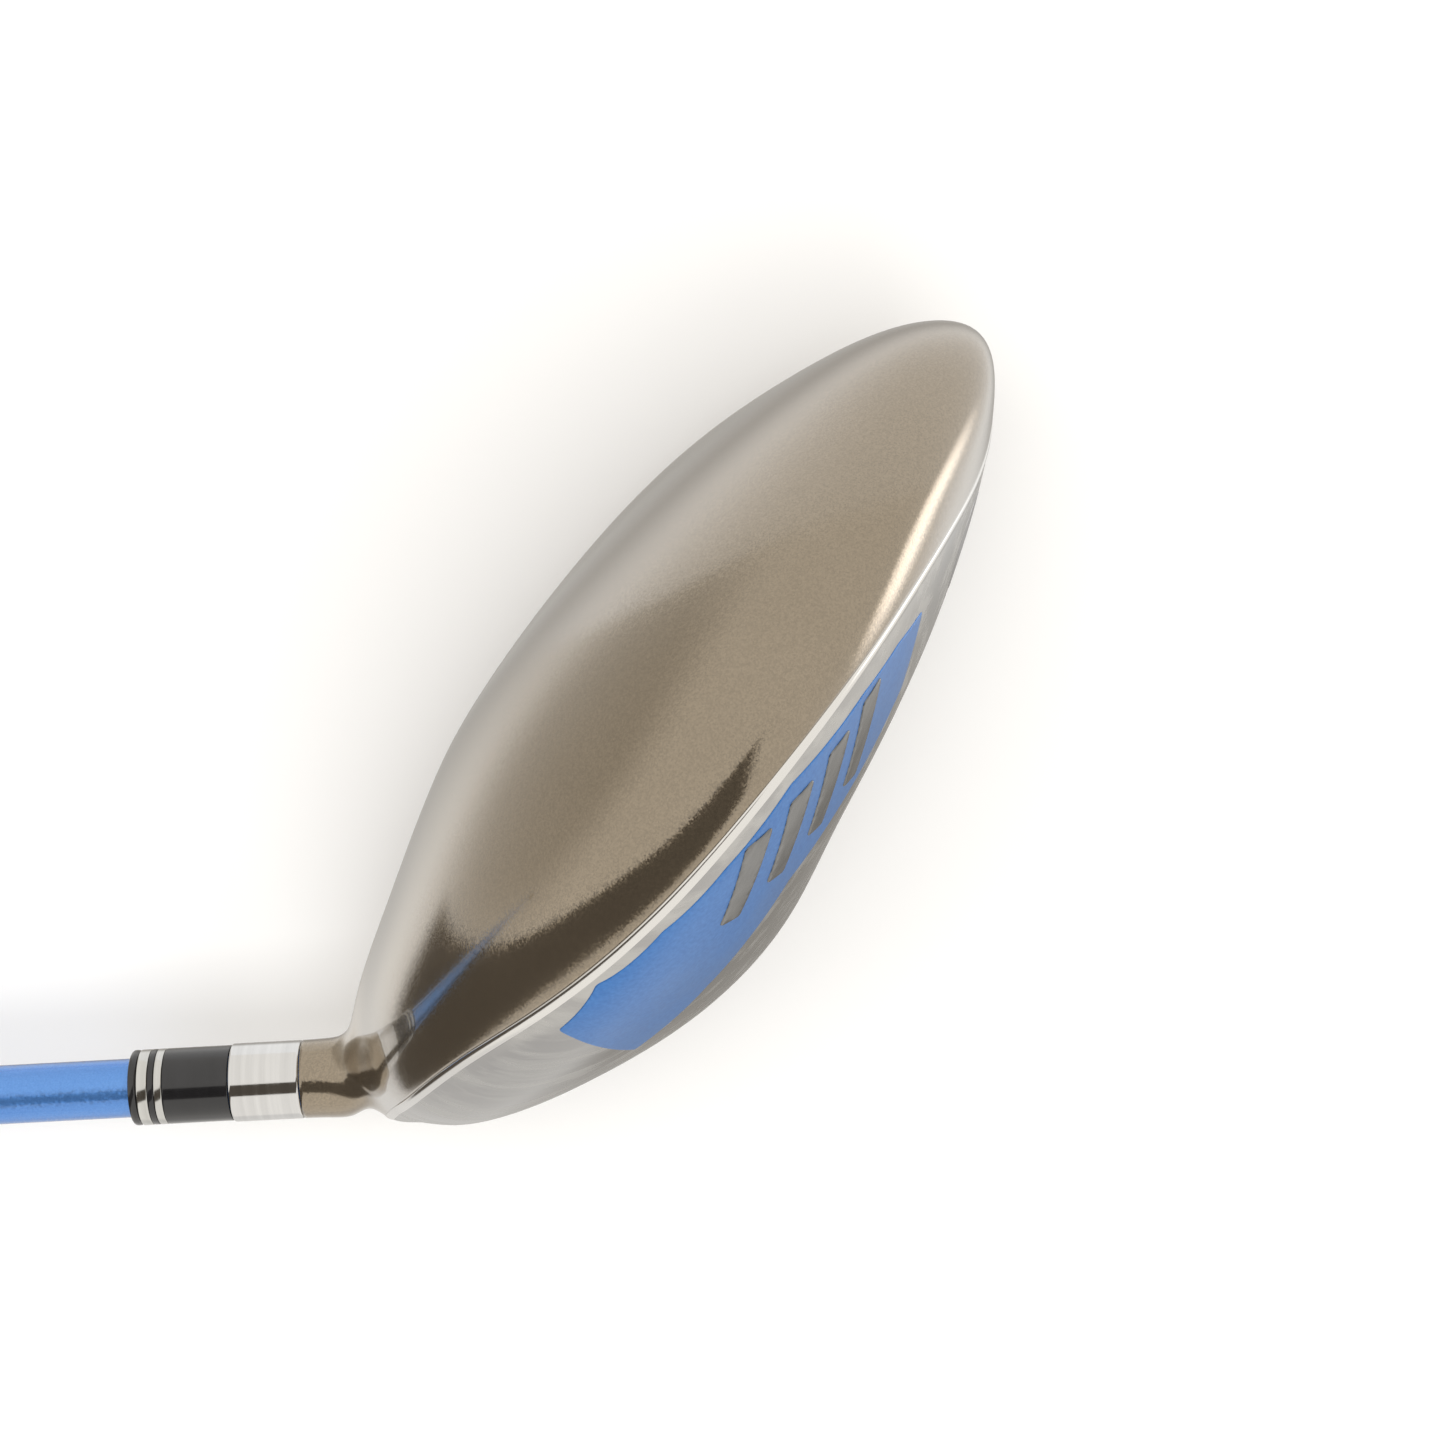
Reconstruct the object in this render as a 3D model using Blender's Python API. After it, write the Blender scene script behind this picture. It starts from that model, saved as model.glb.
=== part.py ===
"""Golf driver, as a bench assembly of separate pieces.

A hollow four-piece metal head (sole body, crown, face plate and hosel) with ribs, a weight plug and
an inlaid badge, then a collar and ferrule stack, a tapered tube shaft and a rubber grip.

Every piece is modelled in the club's address frame: x from heel to toe, y towards the target, z up,
with the origin where the shaft's axis meets the ground. The club_pose empty then lays the whole club
down on its face, with the shaft along X and the grip's butt towards -X. Lengths are in metres, and
the tables of points below are in millimetres where they say so.
"""

import math

import bmesh
import bpy
import numpy as np
from mathutils import Matrix, Vector
from mathutils.bvhtree import BVHTree

MM = 0.001
GAP = 0.3 * MM                      # clearance between pieces that touch

# Address position
LIE = math.radians(60.0)            # shaft to ground
LOFT = math.radians(11.0)           # face plane to the vertical
AXIS = Vector((-math.cos(LIE), 0.0, math.sin(LIE)))
SIDE = Vector((math.sin(LIE), 0.0, math.cos(LIE)))
FRONT = Vector((0.0, 1.0, 0.0))

# Rest position: roll about the shaft, pitch of the shaft to the floor, and the move that follows
REST_ROLL = math.radians(2.0)
REST_PITCH = math.radians(-0.316)
REST_SHIFT = (530.63 * MM, -45.65 * MM, 19.33 * MM)

# Head: poles of the crown and the sole, mm
CROWN_TOP = (27.0, -12.0, 52.8)
SOLE_LOW = (31.0, -8.0, 0.0)

# Stations round the head, mm: plan x and y of the widest line, its height, the seam's height
STATIONS = (
    (-27.6, -1.5, 36.0, 37.0),      # heel, on the hosel
    (-25.0, -9.0, 34.0, 37.0),
    (-19.5, -23.0, 31.5, 37.2),
    (-11.0, -41.0, 29.5, 36.6),
    (2.5, -59.0, 27.0, 34.0),
    (18.5, -74.0, 24.5, 28.6),
    (37.5, -82.5, 22.0, 22.6),      # rear
    (56.5, -81.0, 19.5, 17.8),
    (76.0, -70.5, 17.5, 13.2),
    (95.0, -52.0, 16.5, 9.4),
    (109.5, -32.0, 15.5, 7.2),
    (113.0, -13.0, 16.0, 9.0),      # toe
    (102.0, 2.5, 18.5, 13.5),
    (79.0, 12.0, 22.5, 22.5),       # toe end of the face
    (33.0, 17.5, 26.0, 26.0),       # middle of the face
    (-9.0, 13.0, 28.0, 28.0),       # heel end of the face
    (-22.0, 6.0, 34.0, 35.0),
)
SECTORS_PER_STATION = 2
FACE_STATIONS = (13, 15)            # the face plate lies between these stations
FACE_EASE = 2.5                     # stations over which the loft fades out beside the face
FACE_LINE = 16.0                    # y of the face, mm
FACE_MIDDLE = 26.0                  # height about which the face leans back, mm
FACE_ABOVE = 18.0                   # reach of the face plate above its middle, mm
FACE_BELOW = 17.0
FACE_ROWS = 4

# Superellipse exponents of the profiles at the heel, the rear, the toe and the front
SIDE_STATIONS = (0, 6, 11, 14)
CROWN_WIDTH = (1.9, 2.1, 1.55, 2.3)
CROWN_HEIGHT = (3.0, 2.3, 1.6, 3.2)
SOLE_WIDTH = (1.3, 1.8, 2.6, 3.5)
SOLE_HEIGHT = (1.35, 1.3, 1.6, 3.0)

# Rings of the cage, as fractions of the way from a pole to the seam
CROWN_FRACTIONS = (0.1, 0.3, 0.5, 0.67, 0.81, 0.93, 1.0)
SOLE_FRACTIONS = (0.1, 0.34, 0.58, 0.78, 0.93, 1.0)
CALM_RADIUS = 0.6

CROWN_WALL = 1.0 * MM
SOLE_WALL = 1.7 * MM
FACE_WALL = 2.8 * MM
SMOOTH_LEVEL = 1

# Hosel: distances are along the shaft's axis, from the ground
HOSEL_END = 57.5 * MM
HOSEL_RADIUS = 5.65 * MM
HOSEL_FOOT = 49.0 * MM
NECK_PROFILE = ((50.5 * MM, 6.0 * MM), (54.0 * MM, 5.7 * MM), (HOSEL_END, HOSEL_RADIUS))
NECK_SECTORS = 2                    # half width of the neck's foot, in sectors
NECK_RINGS = (3, 5)                 # crown rings between which the neck stands

# Shaft: a parallel tip, then an even taper to the butt
SHAFT_TIP = 49.5 * MM
SHAFT_BUTT = 1099.5 * MM
TIP_RADIUS = 4.25 * MM
TIP_PARALLEL_END = 102.0 * MM
BUTT_RADIUS = 7.6 * MM
SHAFT_WALL = 1.1 * MM
TIP_PLUG_LENGTH = 18.0 * MM

# Collar and ferrule
FERRULE_RADIUS = 5.45 * MM
COLLAR_LENGTH = 9.9 * MM
FERRULE_PIECES = (                  # name, length, colour
    ("ferrule_lower", 9.15 * MM, "black"),
    ("ferrule_ring_lower", 0.9 * MM, "silver"),
    ("ferrule_spacer", 0.6 * MM, "black"),
    ("ferrule_ring_upper", 1.3 * MM, "silver"),
    ("ferrule_cap", 1.0 * MM, "black"),
)

# Grip
GRIP_MOUTH = 838.0 * MM
GRIP_LIP = 6.0 * MM
CLUB_LENGTH = 1105.0 * MM
GRIP_MOUTH_RADIUS = 9.0 * MM
GRIP_BUTT_RADIUS = 13.25 * MM
TAPE_THICKNESS = 0.4 * MM
VENT_RADIUS = 1.6 * MM

# Badge on the rear of the sole: its frame, then outlines in that frame, mm
BADGE_CENTRE = Vector((45.0, -66.0, 12.0)) * MM
BADGE_NORMAL = Vector((-0.12, -0.45, -0.88)).normalized()
BADGE_OUTLINE = ((-31.5, 10.0), (-22.5, 15.2), (-12.0, 16.8), (-2.0, 15.2), (9.5, 11.3), (21.3, 0.4),
                 (27.3, -7.6), (31.0, -15.3), (21.4, -19.8), (10.0, -14.5), (-4.0, -7.5), (-21.5, -9.5),
                 (-35.5, -14.5))
BADGE_THICKNESS = 0.6 * MM
BAR_OUTLINE = ((-10.0, 6.5), (-8.5, 3.5), (4.0, 10.8), (0.8, 13.8))
BAR_STEP = (6.4, -4.8)
BAR_COUNT = 4
BAR_THICKNESS = 0.8 * MM
INLAY_PITCH = 5.0                   # grid pitch of the inlaid plates, mm

# Weight plug in the toe end of the sole
PLUG_CENTRE = Vector((86.0, -27.0, 3.0)) * MM
PLUG_NORMAL = Vector((0.2, -0.15, -0.97)).normalized()
PLUG_RADIUS = 6.5                   # mm
PLUG_THICKNESS = 1.3 * MM

# Inside the head: ribs that stand on the sole, and a pad of hot melt, mm in plan
RIBS = {
    "sole_rib_front": ((8.0, -4.0), (66.0, -8.0)),
    "sole_rib_rear": ((10.0, -24.0), (60.0, -30.0)),
}
RIB_HEIGHT = 4.0 * MM
RIB_WIDTH = 1.2 * MM
HOT_MELT_CENTRE = (76.0, -18.0)
HOT_MELT_RADIUS = 8.0
HOT_MELT_HEIGHT = 2.5 * MM

ROUND_SEGMENTS = 32


def clear_scene():
    for obj in list(bpy.data.objects):
        bpy.data.objects.remove(obj, do_unlink=True)

# ---------------------------------------------------------------- shared curve and surface tools


def closed_spline(rows, per_row):
    """Periodic cubic spline through the rows, with per_row samples from each row to the next."""
    rows = np.asarray(rows, dtype=float)
    count = len(rows)
    identity = np.eye(count)
    system = 4.0 * identity + np.roll(identity, 1, axis=1) + np.roll(identity, -1, axis=1)
    control = np.linalg.solve(system, 6.0 * rows)
    samples = []
    for i in range(count):
        a, b, c, d = (control[(i + k) % count] for k in (-1, 0, 1, 2))
        for step in range(per_row):
            t = step / per_row
            samples.append(((1 - t) ** 3 * a + (3 * t ** 3 - 6 * t ** 2 + 4) * b
                            + (-3 * t ** 3 + 3 * t ** 2 + 3 * t + 1) * c + t ** 3 * d) / 6.0)
    return np.array(samples)


def around(values):
    """Four values, one for each side of the head, eased from station to station."""
    stops = list(SIDE_STATIONS) + [SIDE_STATIONS[0] + len(STATIONS)]
    result = []
    for station in range(len(STATIONS)):
        k = max(i for i in range(4) if stops[i] <= station)
        t = (station - stops[k]) / (stops[k + 1] - stops[k])
        ease = 0.5 - 0.5 * math.cos(math.pi * t)
        result.append(values[k] + (values[(k + 1) % 4] - values[k]) * ease)
    return result


def evenly_along(points, fractions):
    """Points at the given fractions of a polyline's length."""
    steps = np.linalg.norm(np.diff(points, axis=0), axis=1)
    length = np.concatenate([[0.0], np.cumsum(steps)])
    targets = np.asarray(fractions) * length[-1]
    return np.stack([np.interp(targets, length, points[:, k]) for k in range(3)], axis=1)


# ---------------------------------------------------------------- head: one cage, four regions

CROWN, SOLE, FACE, NECK = range(4)


def sector_table():
    """One row per sector: plan x and y, widest height, seam height and the four exponents."""
    exponents = [around(v) for v in (CROWN_WIDTH, CROWN_HEIGHT, SOLE_WIDTH, SOLE_HEIGHT)]
    rows = [station + extra for station, extra in zip(STATIONS, zip(*exponents))]
    return closed_spline(rows, SECTORS_PER_STATION)


def full_profile(sector):
    """Dense profile on one sector, from the crown's top over the widest line to the sole's low point."""
    x, y, widest = sector[:3]
    sweep = np.linspace(0.0, math.pi / 2, 300)
    halves = []
    for pole, width, height in ((CROWN_TOP, sector[4], sector[5]), (SOLE_LOW, sector[6], sector[7])):
        reach = np.sin(sweep) ** (2.0 / width)
        rise = np.cos(sweep) ** (2.0 / height)
        halves.append(np.stack([pole[0] + (x - pole[0]) * reach,
                                pole[1] + (y - pole[1]) * reach,
                                widest + (pole[2] - widest) * rise], axis=1))
    return np.concatenate([halves[0], halves[1][-2::-1]])


def cut_profile(points, high, low):
    """The stretch of a profile between two heights, in order from the crown's side."""
    inside = points[(points[:, 2] < high) & (points[:, 2] > low)]
    falling = -points[:, 2]
    ends = [[np.interp(-z, falling, points[:, k]) for k in range(3)] for z in (high, low)]
    return np.vstack([ends[0], inside, ends[1]])


def front_weight(index):
    """1 on the face's sectors, easing to 0 on the sides of the head."""
    first, last = (s * SECTORS_PER_STATION for s in FACE_STATIONS)
    outside = abs(index - 0.5 * (first + last)) - 0.5 * (last - first)
    return float(np.clip(1.0 - outside / (FACE_EASE * SECTORS_PER_STATION), 0.0, 1.0))


def lean_back(points, index):
    """Shear the front of the head back by the loft."""
    outward = np.clip((points[:, 1] - CROWN_TOP[1]) / (FACE_LINE - CROWN_TOP[1]), 0.0, 1.0)
    leaned = points.copy()
    leaned[:, 1] -= front_weight(index) * outward * math.tan(LOFT) * (points[:, 2] - FACE_MIDDLE)
    return leaned


def calm_pole(rings, fractions):
    """Near a pole keep only the low harmonics round each ring, so that the surface is smooth there."""
    pole = rings[:, 0].mean(axis=0)
    orders = np.arange(rings.shape[0] // 2 + 1)
    flat_order = np.abs(orders - 1)
    high_order = np.where(orders == 0, 0, np.abs(orders - 2))
    for j, fraction in enumerate(fractions):
        damp = min(1.0, fraction / CALM_RADIUS)
        waves = np.fft.rfft(rings[:, j] - pole, axis=0)
        waves[:, :2] *= (damp ** flat_order)[:, None]
        waves[:, 2] *= damp ** high_order
        rings[:, j] = pole + np.fft.irfft(waves, n=rings.shape[0], axis=0)
    return rings


def head_rings():
    """Crown rings and sole rings, from the pole outwards, and the face's columns from top to bottom."""
    first, last = (s * SECTORS_PER_STATION for s in FACE_STATIONS)
    crown, sole, face = [], [], {}
    for i, sector in enumerate(sector_table()):
        points = full_profile(sector)
        high = low = sector[3]
        if first < i < last:
            arch = math.sqrt(1.0 - (2.0 * (i - first) / (last - first) - 1.0) ** 2)
            high = sector[3] + FACE_ABOVE * arch
            low = sector[3] - FACE_BELOW * arch
            column = cut_profile(points, high, low)
            face[i] = lean_back(evenly_along(column, np.linspace(0, 1, FACE_ROWS + 1)), i)
        upper = cut_profile(points, CROWN_TOP[2], high)
        lower = cut_profile(points, low, SOLE_LOW[2])[::-1]
        crown.append(lean_back(evenly_along(upper, (0.0,) + CROWN_FRACTIONS), i))
        sole.append(lean_back(evenly_along(lower, (0.0,) + SOLE_FRACTIONS), i))
    crown = calm_pole(np.array(crown), (0.0,) + CROWN_FRACTIONS)
    sole = calm_pole(np.array(sole), (0.0,) + SOLE_FRACTIONS)
    return crown[:, 1:], sole[:, 1:], face


def on_axis(distance, radius, angle):
    """Point round the shaft's axis: angle 0 is on the heel side, 90 degrees at the front."""
    out = FRONT * math.sin(angle) - SIDE * math.cos(angle)
    return AXIS * distance + out * radius


def neck_loop():
    """Cage positions (sector, ring) round the neck's foot, from the heel side towards the front."""
    inner, outer = NECK_RINGS
    half = NECK_SECTORS
    loop = [(-i, outer) for i in range(0, half)]
    loop += [(-half, j) for j in range(outer, inner, -1)]
    loop += [(i, inner) for i in range(-half, half)]
    loop += [(half, j) for j in range(inner, outer)]
    loop += [(i, outer) for i in range(half, 0, -1)]
    return loop


def head_cage():
    """Corner points, faces and region tags of the quad cage for the whole outside of the head."""
    crown, sole, face = head_rings()
    count = len(crown)
    points, faces, tags, index = [], [], [], {}

    def corner(key, position):
        if key not in index:
            index[key] = len(points)
            points.append(Vector(position) * MM)
        return index[key]

    def crown_corner(i, j):
        i %= count
        return corner(("crown", i, j), crown[i, j])

    def sole_corner(i, j):
        i %= count
        if j == len(SOLE_FRACTIONS) - 1 and i not in face:
            return crown_corner(i, len(CROWN_FRACTIONS) - 1)
        return corner(("sole", i, j), sole[i, j])

    def face_corner(i, row):
        if i not in face or row == 0:
            return crown_corner(i, len(CROWN_FRACTIONS) - 1)
        if row == FACE_ROWS:
            return sole_corner(i, len(SOLE_FRACTIONS) - 1)
        return corner(("face", i, row), face[i][row])

    def add_face(corners, tag):
        ring = [c for k, c in enumerate(corners) if c != corners[k - 1]]
        faces.append(ring[::-1])
        tags.append(tag)

    inner, outer = NECK_RINGS
    for i in range(count):
        signed = i if i < count // 2 else i - count
        for j in range(len(CROWN_FRACTIONS) - 1):
            if -NECK_SECTORS <= signed < NECK_SECTORS and inner <= j < outer:
                continue
            add_face([crown_corner(i, j), crown_corner(i + 1, j), crown_corner(i + 1, j + 1),
                      crown_corner(i, j + 1)], CROWN)
        for j in range(len(SOLE_FRACTIONS) - 1):
            add_face([sole_corner(i, j), sole_corner(i, j + 1), sole_corner(i + 1, j + 1),
                      sole_corner(i + 1, j)], SOLE)
        if i in face or (i + 1) in face:
            for row in range(FACE_ROWS):
                add_face([face_corner(i, row), face_corner(i + 1, row), face_corner(i + 1, row + 1),
                          face_corner(i, row + 1)], FACE)
    add_face([crown_corner(i, 0) for i in range(count)][::-1], CROWN)
    add_face([sole_corner(i, 0) for i in range(count)], SOLE)

    loop = neck_loop()
    swell = 6.0 / (4.0 + 2.0 * math.cos(math.tau / len(loop)))
    rows = [[crown_corner(i, j) for i, j in loop]]
    for distance, radius in NECK_PROFILE:
        rows.append([
            corner(("neck", distance, k), on_axis(distance, radius * swell, math.tau * k / len(loop)) / MM)
            for k in range(len(loop))
        ])
    for below, above in zip(rows, rows[1:]):
        for k in range(len(loop)):
            after = (k + 1) % len(loop)
            add_face([below[k], below[after], above[after], above[k]], NECK)
    return points, faces, tags


# ---------------------------------------------------------------- head: solids from the cage


class Skin:
    """The smoothed outside of the head: points, normals, and faces with their region tags."""

    def __init__(self, level):
        points, faces, tags = head_cage()
        mesh = bpy.data.meshes.new("head_cage")
        mesh.from_pydata([tuple(p) for p in points], [], faces)
        for tag in (CROWN, SOLE, FACE, NECK):
            mesh.materials.append(bpy.data.materials.new(f"region_{tag}"))
        mesh.polygons.foreach_set("material_index", tags)
        cage = bpy.data.objects.new("head_cage", mesh)
        bpy.context.scene.collection.objects.link(cage)
        smooth = cage.modifiers.new("smooth", "SUBSURF")
        smooth.levels = level
        smooth.render_levels = level
        evaluated = cage.evaluated_get(bpy.context.evaluated_depsgraph_get())
        result = evaluated.to_mesh()
        self.points = [v.co.copy() for v in result.vertices]
        self.normals = [v.normal.copy() for v in result.vertices]
        self.faces = [tuple(p.vertices) for p in result.polygons]
        self.tags = [p.material_index for p in result.polygons]
        evaluated.to_mesh_clear()
        bpy.data.objects.remove(cage)

    def region(self, tag):
        return [face for face, own in zip(self.faces, self.tags) if own == tag]

    def tree(self, tag, depth=0.0):
        """Search tree of one region, moved inwards by depth."""
        points = [p - n * depth for p, n in zip(self.points, self.normals)]
        return BVHTree.FromPolygons(points, self.region(tag))


def open_edges(faces):
    """Directed edges that only one face uses."""
    edges = {(a, b) for face in faces for a, b in zip(face, face[1:] + face[:1])}
    return [(a, b) for a, b in edges if (b, a) not in edges]


def pull_from_rim(skin, faces, distance):
    """Points of a region, with its rim drawn back from the neighbouring regions."""
    points = {v: skin.points[v].copy() for face in faces for v in face}
    pull = {v: Vector() for edge in open_edges(faces) for v in edge}
    for face in faces:
        centre = sum((skin.points[v] for v in face), Vector()) / len(face)
        for v in face:
            if v in pull:
                pull[v] += centre - skin.points[v]
    for a, b in open_edges(faces):
        along = (skin.points[b] - skin.points[a]).normalized()
        for v in (a, b):
            pull[v] -= along * pull[v].dot(along) * 0.5
    for v, direction in pull.items():
        direction -= skin.normals[v] * direction.dot(skin.normals[v])
        points[v] += direction.normalized() * distance
    return points


def head_shell(name, skin, tag, wall, finish):
    """Closed shell of one region: its outside, an inside at the wall's depth, and a rim."""
    faces = skin.region(tag)
    outside = pull_from_rim(skin, faces, GAP / 2)
    order = {v: k for k, v in enumerate(outside)}
    count = len(order)
    corners = list(outside.values()) + [outside[v] - skin.normals[v] * wall for v in order]
    solid = [tuple(order[v] for v in face) for face in faces]
    solid += [tuple(order[v] + count for v in reversed(face)) for face in faces]
    for a, b in open_edges(faces):
        solid.append((order[b], order[a], order[a] + count, order[b] + count))
    return add_piece(name, corners, solid, finish)


def axis_angle(point):
    """Angle of a point round the shaft's axis, as on_axis counts it."""
    return math.atan2(point.dot(FRONT), -point.dot(SIDE)) % math.tau


def hosel(skin):
    """Flared neck with the bore for the shaft."""
    faces = skin.region(NECK)
    outside = pull_from_rim(skin, faces, GAP / 2)
    order = {v: k for k, v in enumerate(outside)}
    corners = list(outside.values())
    solid = [tuple(order[v] for v in face) for face in faces]
    following = dict(open_edges(faces))
    top_start = max(following, key=lambda v: skin.points[v].dot(AXIS) - abs(axis_angle(skin.points[v])) * MM)
    foot_start = min(following, key=lambda v: skin.points[v].dot(AXIS))

    def loop_from(start):
        loop = [start]
        while following[loop[-1]] != start:
            loop.append(following[loop[-1]])
        return loop

    def turned_to_heel(loop):
        heel = min(range(len(loop)), key=lambda k: math.sin(axis_angle(outside[loop[k]]) / 2))
        return loop[heel:] + loop[:heel]

    top = turned_to_heel(loop_from(top_start))
    foot = turned_to_heel(loop_from(foot_start))
    foot = foot[:1] + foot[:0:-1]
    bore = TIP_RADIUS + GAP
    rings = [[order[v] for v in top]]
    for distance in (HOSEL_END, HOSEL_FOOT):
        rings.append(list(range(len(corners), len(corners) + len(top))))
        corners += [on_axis(distance, bore, axis_angle(outside[v])) for v in top]
    rings.append(list(range(len(corners), len(corners) + len(foot))))
    corners += [outside[v] - skin.normals[v] * CROWN_WALL for v in foot]
    rings.append([order[v] for v in foot])
    for ring, after in zip(rings, rings[1:]):
        for k in range(len(ring)):
            n = (k + 1) % len(ring)
            solid.append((ring[n], ring[k], after[k], after[n]))
    return add_piece("hosel", corners, solid, "champagne")


# ---------------------------------------------------------------- inlaid plates


def grown(outline, distance):
    """The outline with every edge moved outwards, for a counter-clockwise outline."""
    result = []
    for k, point in enumerate(outline):
        before, after = np.subtract(point, outline[k - 1]), np.subtract(outline[(k + 1) % len(outline)], point)
        normals = [np.array((d[1], -d[0])) / np.linalg.norm(d) for d in (before, after)]
        mitre = normals[0] + normals[1]
        result.append(tuple(np.array(point) + mitre * distance / (mitre @ normals[0])))
    return result


def counter_clockwise(outline):
    area = sum(a[0] * b[1] - b[0] * a[1] for a, b in zip(outline, outline[1:] + outline[:1]))
    return list(outline) if area > 0 else list(reversed(outline))


def gridded(outline, pitch):
    """Triangles of the outline, cut along a square grid so that they can follow a curved surface."""
    bm = bmesh.new()
    bm.faces.new([bm.verts.new((x, y, 0.0)) for x, y in outline])
    for axis in (0, 1):
        low, high = min(p[axis] for p in outline), max(p[axis] for p in outline)
        normal = Vector((1.0, 0.0, 0.0)) if axis == 0 else Vector((0.0, 1.0, 0.0))
        for step in range(1, math.ceil((high - low) / pitch)):
            geometry = bm.verts[:] + bm.edges[:] + bm.faces[:]
            bmesh.ops.bisect_plane(bm, geom=geometry, dist=1e-4, plane_co=normal * (low + step * pitch),
                                   plane_no=normal)
    bmesh.ops.triangulate(bm, faces=bm.faces[:])
    bm.normal_update()
    bm.verts.index_update()
    points = [(v.co.x, v.co.y) for v in bm.verts]
    faces = [tuple(v.index for v in face.verts) for face in bm.faces]
    flat = [face if bm.faces[:][k].normal.z > 0 else face[::-1] for k, face in enumerate(faces)]
    bm.free()
    return points, flat


def inlay(name, tree, centre, normal, outline, top, bottom, finish):
    """Plate that follows the head's surface between two heights above it."""
    across = (Vector((1.0, 0.0, 0.0)) - normal * normal.x).normalized()
    up = normal.cross(across)
    flat, faces = gridded(outline, INLAY_PITCH)
    upper, lower = [], []
    for x, y in flat:
        start = centre + (across * x + up * y) * MM + normal * 60 * MM
        hit, facing, _, _ = tree.ray_cast(start, -normal)
        upper.append(hit + facing * top)
        lower.append(hit + facing * bottom)
    count = len(flat)
    solid = [tuple(face) for face in faces]
    solid += [tuple(v + count for v in reversed(face)) for face in faces]
    for a, b in open_edges(faces):
        solid.append((b, a, a + count, b + count))
    return add_piece(name, upper + lower, solid, finish)


def cut(target, name, *plate):
    """Cut a plate's pocket out of a piece."""
    cutter = inlay(name, *plate, None)
    cutter.hide_render = True
    cutter.display_type = "WIRE"
    pocket = target.modifiers.new(name, "BOOLEAN")
    pocket.operation = "DIFFERENCE"
    pocket.object = cutter


def badge_and_bars(tree, sole):
    panel = counter_clockwise(BADGE_OUTLINE)
    floor = -(BADGE_THICKNESS + GAP)
    place = (tree, BADGE_CENTRE, BADGE_NORMAL)
    cut(sole, "badge_pocket", *place, grown(panel, GAP / MM), 1 * MM, floor)
    badge = inlay("sole_badge", *place, panel, 0.0, -BADGE_THICKNESS, "blue")
    for k in range(BAR_COUNT):
        outline = counter_clockwise([(x + k * BAR_STEP[0], y + k * BAR_STEP[1]) for x, y in BAR_OUTLINE])
        cut(badge, f"bar_slot_{k + 1}", *place, grown(outline, GAP / MM), 1 * MM, floor - 1 * MM)
        inlay(f"sole_bar_{k + 1}", *place, outline, BAR_THICKNESS - BADGE_THICKNESS, -BADGE_THICKNESS, "silver")


def weight_plug(tree, sole):
    steps = [math.tau * k / ROUND_SEGMENTS for k in range(ROUND_SEGMENTS)]
    circle = [(PLUG_RADIUS * math.cos(a), PLUG_RADIUS * math.sin(a)) for a in steps]
    place = (tree, PLUG_CENTRE, PLUG_NORMAL)
    cut(sole, "plug_pocket", *place, grown(circle, GAP / MM), 1 * MM, -SOLE_WALL - 1 * MM)
    inlay("toe_weight_plug", *place, circle, 0.0, -PLUG_THICKNESS, "tungsten")


# ---------------------------------------------------------------- inside the head


def on_floor(tree, x, y):
    """Point of the sole's inside under a place in plan."""
    hit, _, _, _ = tree.ray_cast(Vector((x, y, 60.0)) * MM, Vector((0.0, 0.0, -1.0)))
    return hit


def sole_rib(name, floor, start, end):
    """Upright strip whose lower edge follows the inside of the sole."""
    steps = 16
    start, end = np.array(start), np.array(end)
    sideways = Vector((start[1] - end[1], end[0] - start[0], 0.0)).normalized() * RIB_WIDTH / 2
    corners, solid = [], []
    for k in range(steps + 1):
        x, y = start + (end - start) * k / steps
        foot = on_floor(floor, x, y) + Vector((0.0, 0.0, GAP + 0.15 * MM))
        height = Vector((0.0, 0.0, RIB_HEIGHT * (0.4 + 0.6 * math.sin(math.pi * k / steps))))
        corners += [foot - sideways, foot + sideways, foot + sideways + height, foot - sideways + height]
    for k in range(steps):
        a, b = 4 * k, 4 * k + 4
        for side in range(4):
            after = (side + 1) % 4
            solid.append((a + side, a + after, b + after, b + side))
    solid.append((3, 2, 1, 0))
    last = 4 * steps
    solid.append((last, last + 1, last + 2, last + 3))
    return add_piece(name, corners, solid, "titanium")


def hot_melt_pad(floor):
    """Round blob of glue on the inside of the toe."""
    rings = ((1.0, 0.0), (0.92, 0.6), (0.7, 0.9))
    x0, y0 = HOT_MELT_CENTRE
    corners, solid = [], []
    for reach, rise in rings:
        for k in range(ROUND_SEGMENTS):
            a = math.tau * k / ROUND_SEGMENTS
            foot = on_floor(floor, x0 + HOT_MELT_RADIUS * reach * math.cos(a),
                            y0 + HOT_MELT_RADIUS * reach * math.sin(a))
            corners.append(foot + Vector((0.0, 0.0, GAP + 0.15 * MM + HOT_MELT_HEIGHT * rise)))
    for ring in range(len(rings) - 1):
        for k in range(ROUND_SEGMENTS):
            n = (k + 1) % ROUND_SEGMENTS
            a = ring * ROUND_SEGMENTS
            solid.append((a + k, a + n, a + n + ROUND_SEGMENTS, a + k + ROUND_SEGMENTS))
    middle = on_floor(floor, x0, y0)
    corners.append(middle + Vector((0.0, 0.0, GAP + 0.15 * MM)))
    corners.append(middle + Vector((0.0, 0.0, GAP + 0.15 * MM + HOT_MELT_HEIGHT)))
    under, over = len(corners) - 2, len(corners) - 1
    top = (len(rings) - 1) * ROUND_SEGMENTS
    for k in range(ROUND_SEGMENTS):
        n = (k + 1) % ROUND_SEGMENTS
        solid.append((under, n, k))
        solid.append((over, top + k, top + n))
    return add_piece("hot_melt_pad", corners, solid, "glue")


# ---------------------------------------------------------------- turned pieces on the shaft's axis


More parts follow.
